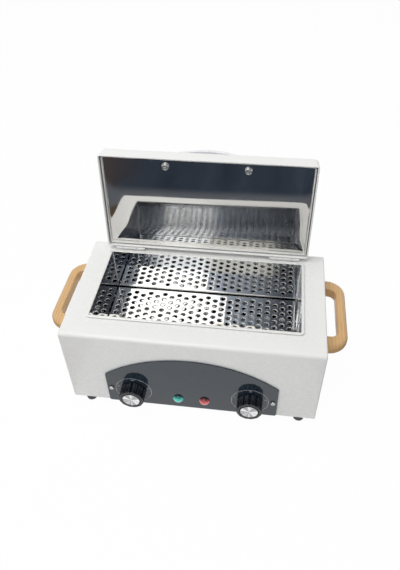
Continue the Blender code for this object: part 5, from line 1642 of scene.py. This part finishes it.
@dataclass
class Lid:
    """The white lid with its mirror liner, its handle and the screws through both."""

    open_angle: float = math.radians(95.5)
    overhang: float = 0.0036
    height: float = 0.0220
    lift: float = 0.0006
    rim_corner: float = 0.0024
    top_corner: float = 0.0060
    top_round: float = 0.0048
    liner_sheet: float = 0.0008
    liner_hem: float = 0.0016
    liner_gap: float = 0.0008
    lip: float = 0.0018
    lip_height: float = 0.0030
    liner_recess: float = 0.0070
    liner_hem_drop: float = 0.0038
    liner_corner: float = 0.0020
    liner_wave: float = 0.00013
    liner_bow: float = 0.00080
    liner_dip: float = 0.00026
    liner_foot_bow: float = 0.00070
    liner_round: float = 0.0005
    foot_share: float = 0.80
    side_share: float = 0.03
    wave_margin: float = 0.012
    hem_reach: float = 0.0012
    hem_front: float = 0.006
    overrun: float = 0.004
    handle_span: float = 0.098
    handle_width: float = 0.0160
    handle_rise: float = 0.0205
    handle_foot: float = 0.0050
    handle_grip: float = 0.0065
    handle_end: float = 0.0085
    handle_from_front: float = 0.0132
    handle_fullness: float = 0.7
    screw_diameter: float = 0.0040
    screw_head: float = 0.0090
    screw_head_height: float = 0.0026
    screw_bite: float = 0.0035
    steps: int = 8

    @property
    def back(self) -> float:
        """The lid's rear edge from the hinge axis."""
        return -(SIZES.knuckle_radius + SIZES.seat_gap)

    @property
    def front(self) -> float:
        """The lid's front edge from the hinge axis."""
        return SIZES.set_back - SIZES.rim_depth / 2 - self.overhang - SIZES.hinge_axis.y

    @property
    def rim(self) -> float:
        """The level of the lid's lower edge from the hinge axis."""
        return SIZES.casing_height + self.lift - SIZES.hinge_axis.z

    @property
    def screw_places(self) -> list[Point]:
        """Where the handle's two screws pass through."""
        return pair(self.handle_span, self.front + self.handle_from_front)

    def outline(self, z: float, inset: float, corner: float) -> list[Vector]:
        """An outline round the lid at one height, drawn in from its outer wall."""
        half_x = SIZES.rim_width / 2 + self.overhang - inset
        half_y = (self.back - self.front) / 2 - inset
        centre = (0.0, (self.back + self.front) / 2)
        return raised(rounded_rectangle(half_x, half_y, corner, centre, self.steps), z)

    def bores(self, low: float, high: float) -> list[Form]:
        """The handle screws' bores between two levels."""
        radius = self.screw_diameter / 2 + SIZES.hole_clearance
        return [Form.prism(circle(radius, 24, place), low, high) for place in self.screw_places]

    def shell(self) -> Form:
        """The pressed shell, rounded over its top edge and hemmed at its rim."""
        top, sheet = self.rim + self.height, SIZES.sheet
        shoulder, hem = top - self.top_round, self.lip / 2
        rounds: list[list[list[Vector]]] = []
        for skin in (0.0, sheet):
            radius, rings = self.top_round - skin, []
            for turn in turns(self.steps):
                inset = skin + radius * (1 - math.cos(turn))
                rings.append(self.outline(shoulder + radius * math.sin(turn), inset, self.top_corner - inset))
            rounds.append(rings)
        outside, inside = rounds
        corner, level, nick = self.rim_corner - sheet, self.rim + self.lip_height, 0.0002
        steps = [(level, sheet), (level, self.lip - nick), (level - nick, self.lip)]
        edge = [self.outline(z, inset, corner) for z, inset in steps]
        for turn in turns(self.steps, math.pi, 2 * math.pi):
            inset = hem - hem * math.cos(turn - math.pi)
            edge.append(self.outline(self.rim + hem + hem * math.sin(turn), self.lip - inset, corner + inset))
        made = Form.loft(inside[::-1] + edge + outside)
        return made.combined(self.bores(self.rim, top + self.overrun))

    def liner(self) -> Form:
        """The polished liner: a hemmed tray whose face isn't quite flat."""
        edge = self.lip + self.liner_gap
        low, face = self.rim + self.liner_hem_drop, self.rim + self.liner_recess
        back, hem, roll = face + self.liner_sheet, self.liner_hem, self.liner_hem / 2
        rings = [self.outline(back, edge, self.liner_corner)]
        for turn in turns(self.steps, 0.0, math.pi):
            inset = edge + roll * (1 - math.cos(turn))
            corner = self.liner_corner - roll / 2 * (1 - math.cos(turn))
            rings.append(self.outline(low + roll * 0.6 * (1 - math.sin(turn)), inset, corner))
        radius = self.liner_round
        for turn in turns(3):
            inset = edge + hem + radius * (1 - math.cos(turn))
            rings.append(self.outline(face - radius * (1 - math.sin(turn)), inset, self.liner_corner / 2))
        form = Form.loft(rings)
        self.wave_face(form, rings[-1])
        return form.combined(self.bores(self.rim, back + self.overrun))

    def bent(self, across: float, along: float) -> float:
        """How far the liner's face is pressed out of flat at a place.

        The main bow takes most of the face from its rear edge, a shallow dip follows it, and
        the foot bends back towards the front edge.

        Args:
            across: The place's share of the width, from the left.
            along: Its share of the depth, from the rear of the open liner's foot.

        Returns:
            The rise above the flat face, in metres.
        """
        reach = 0.74 - 0.14 * across
        if along < reach:
            rise = -self.liner_bow * (0.70 + 0.30 * across) * math.sin(math.pi * along / reach) ** 2
        else:
            rise = -self.liner_dip * math.sin(math.pi * (along - reach) / (1.04 - reach)) ** 2
        return rise + self.liner_foot_bow * (max(0.0, along - self.foot_share) / (1 - self.foot_share)) ** 2

    def wave_face(self, form: Form, edge: Sequence[Vector]) -> None:
        """Cuts the liner's face into a grid and bends it, fading out at its edge.

        Args:
            form: The liner.
            edge: The face's outline.
        """
        low = Vector(min(place[axis] for place in edge) for axis in range(3))
        high = Vector(max(place[axis] for place in edge) for axis in range(3))
        for axis, count in ((0, 44), (1, 22)):
            length, first = high[axis] - low[axis], 0.0006
            for cut in (first, *(length * i / count for i in range(1, count)), length - first):
                spot, normal = low.copy(), Vector((0, 0, 0))
                spot[axis] = low[axis] + cut
                normal[axis] = 1.0
                faces = [face for face in form.mesh.faces if abs(face.calc_center_median().z - low.z) < 1e-6]
                edges = list({edge for face in faces for edge in face.edges})
                corners = list({corner for face in faces for corner in face.verts})
                geometry = faces + edges + corners
                bmesh.ops.bisect_plane(form.mesh, geom=geometry, plane_co=spot, plane_no=normal, dist=1e-6)
        for corner in form.mesh.verts:
            if abs(corner.co.z - low.z) > 1e-6:
                continue
            margin = min(corner.co.x - low.x, high.x - corner.co.x, corner.co.y - low.y, high.y - corner.co.y)
            fade = min(1.0, max(0.0, margin / self.wave_margin))
            place = Vector((corner.co.x * 13.0, corner.co.y * 9.0, 0.7))
            corner.co.z += self.liner_wave * fade * fade * noise.noise(place, noise_basis="PERLIN_NEW")
            across = (corner.co.x - low.x) / (high.x - low.x)
            along = (corner.co.y - low.y) / (high.y - low.y)
            corner.co.z += min(1.0, min(across, 1 - across) / self.side_share) * self.bent(across, along)

    def handle(self) -> Form:
        """The arched handle: flat ended feet that swell into a rounded bow."""
        span = self.handle_span / 2
        end, crest = span + self.handle_end, span + self.handle_end / 2
        base, half = self.rim + self.height + SIZES.seat_gap, self.handle_width / 2
        rings = []
        for x in turns(48, -end, end):
            swell = ((1 + math.cos(math.pi * min(abs(x) / crest, 1))) / 2) ** self.handle_fullness
            top = self.handle_foot + (self.handle_rise - self.handle_foot) * swell
            bottom = max(0.0, top - self.handle_grip)
            narrow = half * (1 - ((abs(x) - span) / self.handle_end) ** 2 / 2 if abs(x) > span else 1)
            corner = min(top - bottom, narrow) / 2
            section = arc((narrow - corner, top - corner), corner, 0, math.pi / 2, 8)
            section += arc((corner - narrow, top - corner), corner, math.pi / 2, math.pi, 8)
            small = corner / 3
            section += arc((small - narrow, bottom + small), small, math.pi, 3 * math.pi / 2, 4)
            section += arc((narrow - small, bottom + small), small, -math.pi / 2, 0, 4)
            rings.append([Vector((x, self.screw_places[0][1] + y, base + z)) for y, z in section])
        return Form.loft(rings).combined(self.bores(base - self.overrun, base + self.screw_bite + SIZES.seat_gap))

    def build(self, shop: Shop) -> None:
        """Makes the shell, the liner, the handle and the two long screws."""
        shop.add("pressed_lid", self.shell(), Slot.WHITE_PAINT, "lid", ["lid_shell"], shop.lid)
        liner = shop.add("polished_liner", self.liner(), Slot.MIRROR_STAINLESS, "lid", ["lid_liner"], shop.lid)
        face, hem, front = self.rim + self.liner_recess, self.hem_reach, self.front + self.hem_front
        # The liner's hem takes the paler steel: painted light.
        shop.dress_part(liner, SATIN_HEM_PAINTED_LIGHT, lambda place: place.z < face - hem and place.y > front)
        shop.add("bow_handle", self.handle(), Slot.HANDLE_PLASTIC, "lid", ["lid_handle"], shop.lid)
        length = self.height - self.liner_recess + self.screw_bite + SIZES.seat_gap
        head = (self.screw_diameter, self.screw_head, self.screw_head_height)
        screw = PanScrew(*head, length, cross_width=0.0008, cross_depth=0.0005)
        for (x, y), side in zip(self.screw_places, ("left", "right")):
            seat = at(x, y, face - SIZES.seat_gap) @ Matrix.Rotation(math.pi, 4, "X")
            screw.fit(shop, f"liner_pan_screw_{side}", "lid", f"lid_handle_screw_{side}", shop.lid @ seat)


@dataclass
class Hinge:
    """One hinge of three knuckles, with the stop that the open lid leans on."""

    side: str
    x: float
    open_angle: float
    length: float = 0.0370
    middle: float = 0.0180
    leaf: float = 0.0010
    body_leaf: float = 0.0118
    lid_leaf: float = 0.0135
    stop_width: float = 0.0012
    knuckle_gap: float = 0.0004
    pin_radius: float = 0.00115
    pin_bore: float = 0.00150
    overrun: float = 0.004

    def outline(self, length: float, stop: float) -> list[Point]:
        """A leaf's section with its knuckle round the origin, and a stop at its end if asked."""
        radius = SIZES.knuckle_radius
        top = self.leaf - radius
        start = math.atan2(top, math.sqrt(radius * radius - top * top))
        points = arc((0, 0), radius, start, 3 * math.pi / 2, 28)
        points.append((length, -radius))
        if stop > 0:
            inner = length - self.stop_width
            return points + [(length, top + stop), (inner, top + stop), (inner, top)]
        return points + [(length, top)]

    def leaf_form(self, length: float, stop: float, swap: bool) -> Form:
        """A leaf over the hinge's whole length, with the pin's bore."""
        half = self.length / 2
        form = Form.sheet(self.outline(length, stop), [circle(self.pin_bore, 20)], -half, half)
        for corner in form.mesh.verts:
            u, v, x = corner.co
            corner.co = (x, v, u) if swap else (x, u, v)
        return form

    def build(self, shop: Shop) -> None:
        """Makes both leaves and the pin."""
        clear, far = SIZES.knuckle_radius + SIZES.seat_gap, self.overrun
        middle, half = self.middle / 2, self.length / 2
        reach = self.body_leaf - self.stop_width
        top = self.leaf - SIZES.knuckle_radius
        stop = (-top + reach * math.cos(self.open_angle)) / math.sin(self.open_angle) - SIZES.seat_gap - top
        axis = shop.body @ at(*(SIZES.hinge_axis + Vector((self.x, 0, 0))))
        gap = middle + self.knuckle_gap
        room = Form.box((-gap, -clear - far, -clear), (gap, clear, clear))
        leaf = self.leaf_form(self.body_leaf, stop, False).combined([room])
        name = f"hinge_body_leaf_{self.side}"
        shop.add(f"fixed_leaf_{self.side}", leaf, Slot.WHITE_PAINT, "body", [name], axis, soften=0.0002)
        spans = ((middle, half + far), (-half - far, -middle))
        ends = [Form.box((low, -clear, -clear), (high, clear, clear)) for low, high in spans]
        leaf = self.leaf_form(self.lid_leaf, 0, True).combined(ends)
        name = f"hinge_lid_leaf_{self.side}"
        place = shop.lid @ at(self.x)
        shop.add(f"moving_leaf_{self.side}", leaf, Slot.WHITE_PAINT, "lid", [name], place, soften=0.0002)
        head, end, pin = SIZES.knuckle_radius * math.cos(math.pi / 6), half + SIZES.seat_gap, self.pin_radius
        profile = [(0, -end - pin), (head * 0.7, -end - pin), (head, -end - pin / 2), (head, -end), (pin, -end)]
        profile += [(pin, end - 0.0003), (0.0009, end), (0, end)]
        lying = Matrix.Rotation(math.copysign(math.pi / 2, self.x), 4, "Y")
        made, name = Form.turned(profile, 28), f"pin_{self.side}"
        shop.add(name, made, Slot.SCREW_STEEL, "body", [f"hinge_{name}"], axis @ lying)


@dataclass
class SideHandle:
    """A wooden handle on one side of the casing."""

    side: str
    way: int
    level: float = 0.090
    length: float = 0.113
    reach: float = 0.0268
    thickness: float = 0.0140
    corner: float = 0.0230
    edge: float = 0.0055
    slot_length: float = 0.078
    slot_depth: float = 0.0150
    slot_corner: float = 0.0085
    slot_edge: float = 0.0015
    bite: float = 0.0100
    screw_diameter: float = 0.0040
    forward: float = 0.0001
    overrun: float = 0.004

    @staticmethod
    def curve(half: float, reach: float, corner: float) -> list[Point]:
        """One edge in plan: out, round a corner, along, and back."""
        lead: list[Point] = [(0, half), ((reach - corner) / 2, half)]
        lead += arc((reach - corner, half - corner), corner, math.pi / 2, 0, 14)
        lead += [(reach, (half - corner) * share) for share in (0.66, 0.33, 0.0)]
        return lead + [(x, -y) for x, y in reversed(lead[:-1])]

    def section(self, wide: float) -> list[Point]:
        """The section from the outer edge inwards, as (depth, height)."""
        high, outer, inner, quarter = self.thickness / 2, self.edge, self.slot_edge, math.pi / 2
        points = arc((outer, high - outer), outer, 2 * quarter, quarter, 9)
        points += arc((wide - inner, high - inner), inner, quarter, 0, 4)
        points += arc((wide - inner, inner - high), inner, 0, -quarter, 4)
        return points + arc((outer, outer - high), outer, -quarter, -2 * quarter, 9)

    def build(self, shop: Shop) -> None:
        """Makes the handle and dresses the screws that hold it from inside."""
        outer = self.curve(self.length / 2, self.reach, self.corner)
        inner = self.curve(self.slot_length / 2, self.slot_depth, self.slot_corner)
        rings = []
        for (ox, oy), (ix, iy) in zip(outer, inner):
            across = Vector((ix - ox, iy - oy))
            wide = across.length
            across.normalize()
            ring = [(ox + across.x * depth, oy + across.y * depth, z) for depth, z in self.section(wide)]
            rings.append([Vector((self.way * x, y, z)) for x, y, z in ring])
        radius, reach = self.screw_diameter / 2 + SIZES.hole_clearance, (self.length + self.slot_length) / 4
        sideways = Matrix.Rotation(self.way * math.pi / 2, 4, "Y")
        outlines = [circle(radius, 24, (0, y)) for y in (-reach, reach)]
        bores = [Form.prism(outline, -self.overrun, self.bite).placed(sideways) for outline in outlines]
        wall = self.way * (SIZES.casing_width / 2 + SIZES.seat_gap)
        place = shop.body @ at(wall, SIZES.set_back - self.forward, self.level)
        form = Form.loft(rings).combined(bores)
        shop.add(f"wood_handle_{self.side}", form, Slot.WOOD, "body", [f"side_handle_{self.side}"], place)
        shop.dress([f"handle_screw_{self.side}_front", f"handle_screw_{self.side}_rear"], Slot.SCREW_STEEL)


@dataclass
class PowerInlet:
    """The power inlet in the rear wall, seen from behind."""

    flange: tuple[float, float, float] = (0.050, 0.024, 0.0025)
    depth: float = 0.0190
    wall: float = 0.0016
    recess: float = 0.0165
    chamfer: float = 0.0050
    blade: tuple[float, float, float] = (0.0020, 0.0040, 0.0110)
    blade_spacing: float = 0.0070
    blade_rise: float = 0.0020
    overrun: float = 0.004

    def build(self, shop: Shop) -> None:
        """Makes the moulding, its three pins and its two screws."""
        middle = at(SIZES.inlet_offset, SIZES.casing_depth / 2 + SIZES.seat_gap, SIZES.inlet_level)
        place = shop.body @ middle @ REAR_FACING
        spots, thick = pair(SIZES.inlet_screw_spacing, 0.0), self.flange[2]
        outline = rounded_rectangle(self.flange[0] / 2, self.flange[1] / 2, self.chamfer)
        form = Form.sheet(outline, [circle(SIZES.panel_screw_bore, 20, spot) for spot in spots], 0, thick)
        half_x, half_y = (size / 2 for size in SIZES.inlet_body)
        shroud = Form.prism(rounded_rectangle(half_x, half_y, self.wall), -self.depth, thick / 2)
        in_x, in_y, cut = half_x - self.wall, half_y - self.wall, self.chamfer
        well = [(in_x, -in_y), (in_x, in_y - cut), (in_x - cut, in_y)]
        well = [(-in_x, -in_y), *well, (cut - in_x, in_y), (-in_x, in_y - cut)]
        floor = thick - self.recess
        form = form.combined([shroud], "UNION").combined([Form.prism(well, floor, thick + self.overrun)])
        shop.add("inlet_moulding", form, Slot.DARK_PLASTIC, "body", ["power_inlet"], place, soften=0.0003)
        blades, tip = [], floor + self.blade[2]
        for column, rise in ((-1, -self.blade_rise), (0, self.blade_rise), (1, -self.blade_rise)):
            middle = (column * self.blade_spacing, rise)
            blade = rounded_rectangle(self.blade[0] / 2, self.blade[1] / 2, 0.0003, middle, 3)
            small = [(middle[0] + (x - middle[0]) * 0.6, middle[1] + (y - middle[1]) * 0.8) for x, y in blade]
            steps = ((blade, floor - 0.0005), (blade, tip - 0.0008), (small, tip))
            blades.append(Form.loft([raised(outline, z) for outline, z in steps]))
        shop.add("inlet_pins", Form().with_others(blades), Slot.ZINC_PLATE, "body", place=place)
        for spot, side in zip(spots, ("right", "left")):
            seat = place @ at(spot[0], 0, thick + SIZES.seat_gap)
            PanScrew().fit(shop, f"inlet_pan_screw_{side}", "body", f"inlet_screw_{side}", seat)


# Studio


@dataclass
class StudioCamera:
    """The camera at the photograph's place and angle."""

    place: tuple[float, float, float] = (0.073, -0.479187, 0.591)
    yaw: float = math.radians(-8.68)
    pitch: float = math.radians(-43.55)
    roll: float = math.radians(-1.57)
    lens: float = 34.86
    sensor: float = 36.0

    def build(self) -> None:
        """Makes the camera and gives it to the scene."""
        data = bpy.data.cameras.new("camera")
        data.lens, data.sensor_width, data.clip_start, data.clip_end = self.lens, self.sensor, 0.01, 50.0
        made = bpy.data.objects.new("camera", data)
        level = math.cos(self.pitch)
        ahead = Vector((math.sin(self.yaw) * level, math.cos(self.yaw) * level, math.sin(self.pitch)))
        right = Vector((math.cos(self.yaw), -math.sin(self.yaw), 0.0))
        up = right.cross(ahead)
        turned_right = right * math.cos(self.roll) + up * math.sin(self.roll)
        turned_up = up * math.cos(self.roll) - right * math.sin(self.roll)
        turn = Matrix((turned_right, turned_up, -ahead)).transposed().to_4x4()
        made.matrix_world = at(*self.place) @ turn
        bpy.context.scene.collection.objects.link(made)
        bpy.context.scene.camera = made


@dataclass
class Studio:
    """The pale floor, the soft light and the cards that only reflections see."""

    floor_size: float = 12.0
    floor_lift: float = 0.97
    ambient: float = 0.395
    card_front: float = -0.29
    card_level: float = 0.004
    key_power: float = 20.5
    key_size: float = 1.6
    key_place: tuple[float, float, float] = (-0.45, -0.35, 1.55)

    def card(self, name: str, corners: Sequence[Vector], material: bpy.types.Material) -> bpy.types.Object:
        """A flat stage piece.

        Args:
            name: Its name.
            corners: Its four corners.
            material: Its material.

        Returns:
            The piece.
        """
        mesh = bpy.data.meshes.new(name)
        mesh.from_pydata([tuple(corner) for corner in corners], [], [tuple(range(len(corners)))])
        mesh.materials.append(material)
        made = bpy.data.objects.new(name, mesh)
        bpy.context.scene.collection.objects.link(made)
        return made

    @staticmethod
    def blank(name: str) -> tuple[bpy.types.Material, Graph]:
        """A material without a shader, and its graph."""
        material = bpy.data.materials.new(name)
        material.use_nodes = True
        nodes = material.node_tree.nodes
        nodes.remove(nodes["Principled BSDF"])
        return material, Graph(material.node_tree)

    @staticmethod
    def mix(graph: Graph, share: Any, first: bpy.types.Node, second: bpy.types.Node) -> None:
        """Shows a share of one shader over another at the graph's output."""
        mixed = graph.add("ShaderNodeMixShader", {0: share, 1: first.outputs[0], 2: second.outputs[0]})
        output = next(node for node in graph.tree.nodes if node.type.startswith("OUTPUT"))
        graph.feed(output.inputs["Surface"], mixed.outputs[0])

    @staticmethod
    def seen(graph: Graph) -> bpy.types.NodeSocket:
        """One for a ray that the camera, a mirror or a lens sends, else zero."""
        path = graph.add("ShaderNodeLightPath").outputs
        through = graph.sum("MAXIMUM", path["Is Glossy Ray"], path["Is Transmission Ray"])
        return graph.sum("MAXIMUM", path["Is Camera Ray"], through)

    def glow(self, name: str) -> tuple[bpy.types.Material, Graph, bpy.types.Node, Any]:
        """A material that only glows: itself, its graph, its emission and its own coordinates."""
        material, graph = self.blank(name)
        emission = graph.add("ShaderNodeEmission")
        graph.feed(material.node_tree.nodes["Material Output"].inputs["Surface"], emission.outputs[0])
        here = graph.add("ShaderNodeTexCoord").outputs["Object"]
        return material, graph, emission, graph.add("ShaderNodeSeparateXYZ", {0: here}).outputs

    def floor(self) -> None:
        """The floor: near white to the camera, yet it keeps the object's soft shadow."""
        material, graph = self.blank("pale floor")
        lit = graph.add("ShaderNodeBsdfDiffuse", {"Color": (0.90, 0.90, 0.90)})
        bright = graph.add("ShaderNodeEmission", {"Color": (1.0, 1.0, 1.0), "Strength": 1.0})
        self.mix(graph, graph.sum("MULTIPLY", self.seen(graph), self.floor_lift), lit, bright)
        half = self.floor_size / 2
        self.card("floor", rectangle((-half, half), (-half, half), 0), material)

    def world(self) -> None:
        """A white surround to the camera and to reflections, and a plain soft light."""
        world = bpy.data.worlds.new("surround")
        world.use_nodes = True
        bpy.context.scene.world = world
        graph = Graph(world.node_tree)
        soft = world.node_tree.nodes["Background"]
        soft.inputs["Color"].default_value = (0.97, 0.985, 1.0, 1.0)
        soft.inputs["Strength"].default_value = self.ambient
        white = graph.add("ShaderNodeBackground", {"Color": (1.0, 1.0, 1.0), "Strength": 1.0})
        self.mix(graph, self.seen(graph), soft, white)

    def mirrored_card(self, name: str, corners: Sequence[Vector], material: bpy.types.Material) -> None:
        """A card that is kept out of every ray but glossy ones."""
        card = self.card(name, corners, material)
        card.visible_camera = card.visible_diffuse = card.visible_shadow = False
        card.visible_transmission = card.visible_volume_scatter = False

    def cards(self) -> None:
        """The dark table in front, and the wall with its bright window behind the camera."""
        material, graph, emission, parts = self.glow("dark table card")
        streaks = Effects.cloud(graph, Effects.place_on_piece(graph, (9.0, 1.6, 1.0)), 1.0, 3.0)
        shades = [(0.30, (0.026, 0.034, 0.052)), (0.55, (0.040, 0.054, 0.078)), (0.75, (0.066, 0.084, 0.110))]
        dark = graph.ramp(streaks, shades)
        warm = graph.blend(graph.spread(parts["X"], -0.20, -0.42), dark, (0.085, 0.062, 0.055))
        near = graph.blend(graph.spread(parts["Y"], -0.47, -0.36), warm, (0.13, 0.14, 0.16))
        graph.feed(emission.inputs["Color"], near)
        table = rectangle((-1.4, 1.4), (-2.2, self.card_front), self.card_level)
        self.mirrored_card("dark_table_card", table, material)

        material, graph, emission, parts = self.glow("studio wall card")
        middle, high = graph.spread(parts["Z"], 0.58, 0.63), graph.spread(parts["Z"], 0.80, 0.90)
        left, right = (
            graph.sum("ADD", graph.sum("MULTIPLY", middle, low), graph.sum("MULTIPLY", high, more))
            for low, more in ((0.060, 0.130), (0.044, 0.118))
        )
        from_left = graph.spread(graph.sum("ADD", parts["X"], left), -0.276, -0.250)
        from_right = graph.spread(graph.sum("SUBTRACT", parts["X"], right), -0.058, -0.088)
        window = graph.sum("MULTIPLY", from_left, from_right)
        surround = graph.ramp(
            graph.spread(parts["X"], -0.55, 0.50),
            [
                (0.00, (0.05, 0.065, 0.10)),
                (0.30, (0.08, 0.105, 0.16)),
                (0.46, (0.64, 0.72, 0.86)),
                (0.60, (0.34, 0.38, 0.45)),
                (0.72, (0.09, 0.10, 0.125)),
            ],
        )
        cream = graph.sum("MULTIPLY", high, graph.spread(parts["X"], -0.13, -0.07))
        pane = graph.blend(cream, (2.9, 2.9, 2.85), (1.75, 1.68, 1.50))
        graph.feed(emission.inputs["Color"], graph.blend(window, surround, pane))
        self.mirrored_card("studio_wall_card", upright((-1.6, 1.6), (0.34, 2.2), -0.50), material)
        self.late_card()
        sides = ((-1, (0.10, 0.075, 0.055), (0.30, 0.24, 0.18)), (1, (0.05, 0.06, 0.07), (0.25, 0.26, 0.27)))
        for side, low, high in sides:
            material, graph, emission, parts = self.glow(f"side card {side}")
            near = graph.spread(graph.sum("ABSOLUTE", parts["X"]), 0.22, 0.165)
            graph.feed(emission.inputs["Color"], graph.blend(near, low, high))
            beside = rectangle((side * 0.156, side * 1.4), (self.card_front, 0.30), self.card_level)
            self.mirrored_card(f"side_card_{side}", beside, material)

    def late_card(self) -> None:
        """A card before the lid that a ray meets from its third mirror on, bright only from the fourth on."""
        material, graph, emission, parts = self.glow("chamber glow card")
        glow = graph.ramp(
            graph.spread(parts["X"], -0.20, 0.20),
            [
                (0.06, (0.16, 0.19, 0.24)),
                (0.13, (2.4, 2.4, 2.35)),
                (0.37, (2.4, 2.4, 2.35)),
                (0.43, (1.5, 1.42, 1.25)),
                (0.79, (1.2, 1.14, 1.02)),
                (0.86, (0.14, 0.14, 0.15)),
            ],
        )
        depth = graph.add("ShaderNodeLightPath").outputs["Glossy Depth"]
        last = graph.sum("GREATER_THAN", depth, 3.5)
        graph.feed(emission.inputs["Color"], graph.blend(last, glow, (0.085, 0.105, 0.15)))
        late = graph.sum("GREATER_THAN", depth, 2.5)
        self.mix(graph, late, graph.add("ShaderNodeBsdfTransparent"), emission)
        self.mirrored_card("chamber_glow_card", upright((-0.35, 0.35), (0.133, 0.45), 0.0615), material)

    def lamps(self) -> None:
        """One large soft lamp from the front left and above."""
        data = bpy.data.lights.new("key", "AREA")
        data.size, data.energy, data.color = self.key_size, self.key_power, (1.0, 0.99, 0.975)
        made = bpy.data.objects.new("key", data)
        made.location = self.key_place
        made.rotation_euler = (-Vector(self.key_place)).to_track_quat("-Z", "Y").to_euler()
        made.visible_glossy = False
        bpy.context.scene.collection.objects.link(made)

    def build(self) -> None:
        """Sets up the floor, the surround, the cards and the lamp."""
        bpy.context.scene.view_settings.view_transform = "Standard"
        self.floor()
        self.world()
        self.cards()
        self.lamps()


def main() -> None:
    """Builds the studio and every sub-assembly, in order."""
    logging.basicConfig(level=logging.INFO, format="%(name)s: %(message)s", stream=sys.stdout)
    StudioCamera().build()
    Studio().build()
    lid = Lid()
    shop = Shop(lid.open_angle)
    Casing().build(shop)
    Chamber().build(shop)
    ControlPanel().build(shop)
    for control, side in (("thermostat", -1), ("timer", 1)):
        Knob(control, side * SIZES.control_spacing / 2).build(shop)
    lid.build(shop)
    for side, way in (("left", -1), ("right", 1)):
        Hinge(side, way * 0.100, lid.open_angle).build(shop)
        SideHandle(side, way).build(shop)
    PowerInlet().build(shop)


if __name__ == "__main__":
    main()
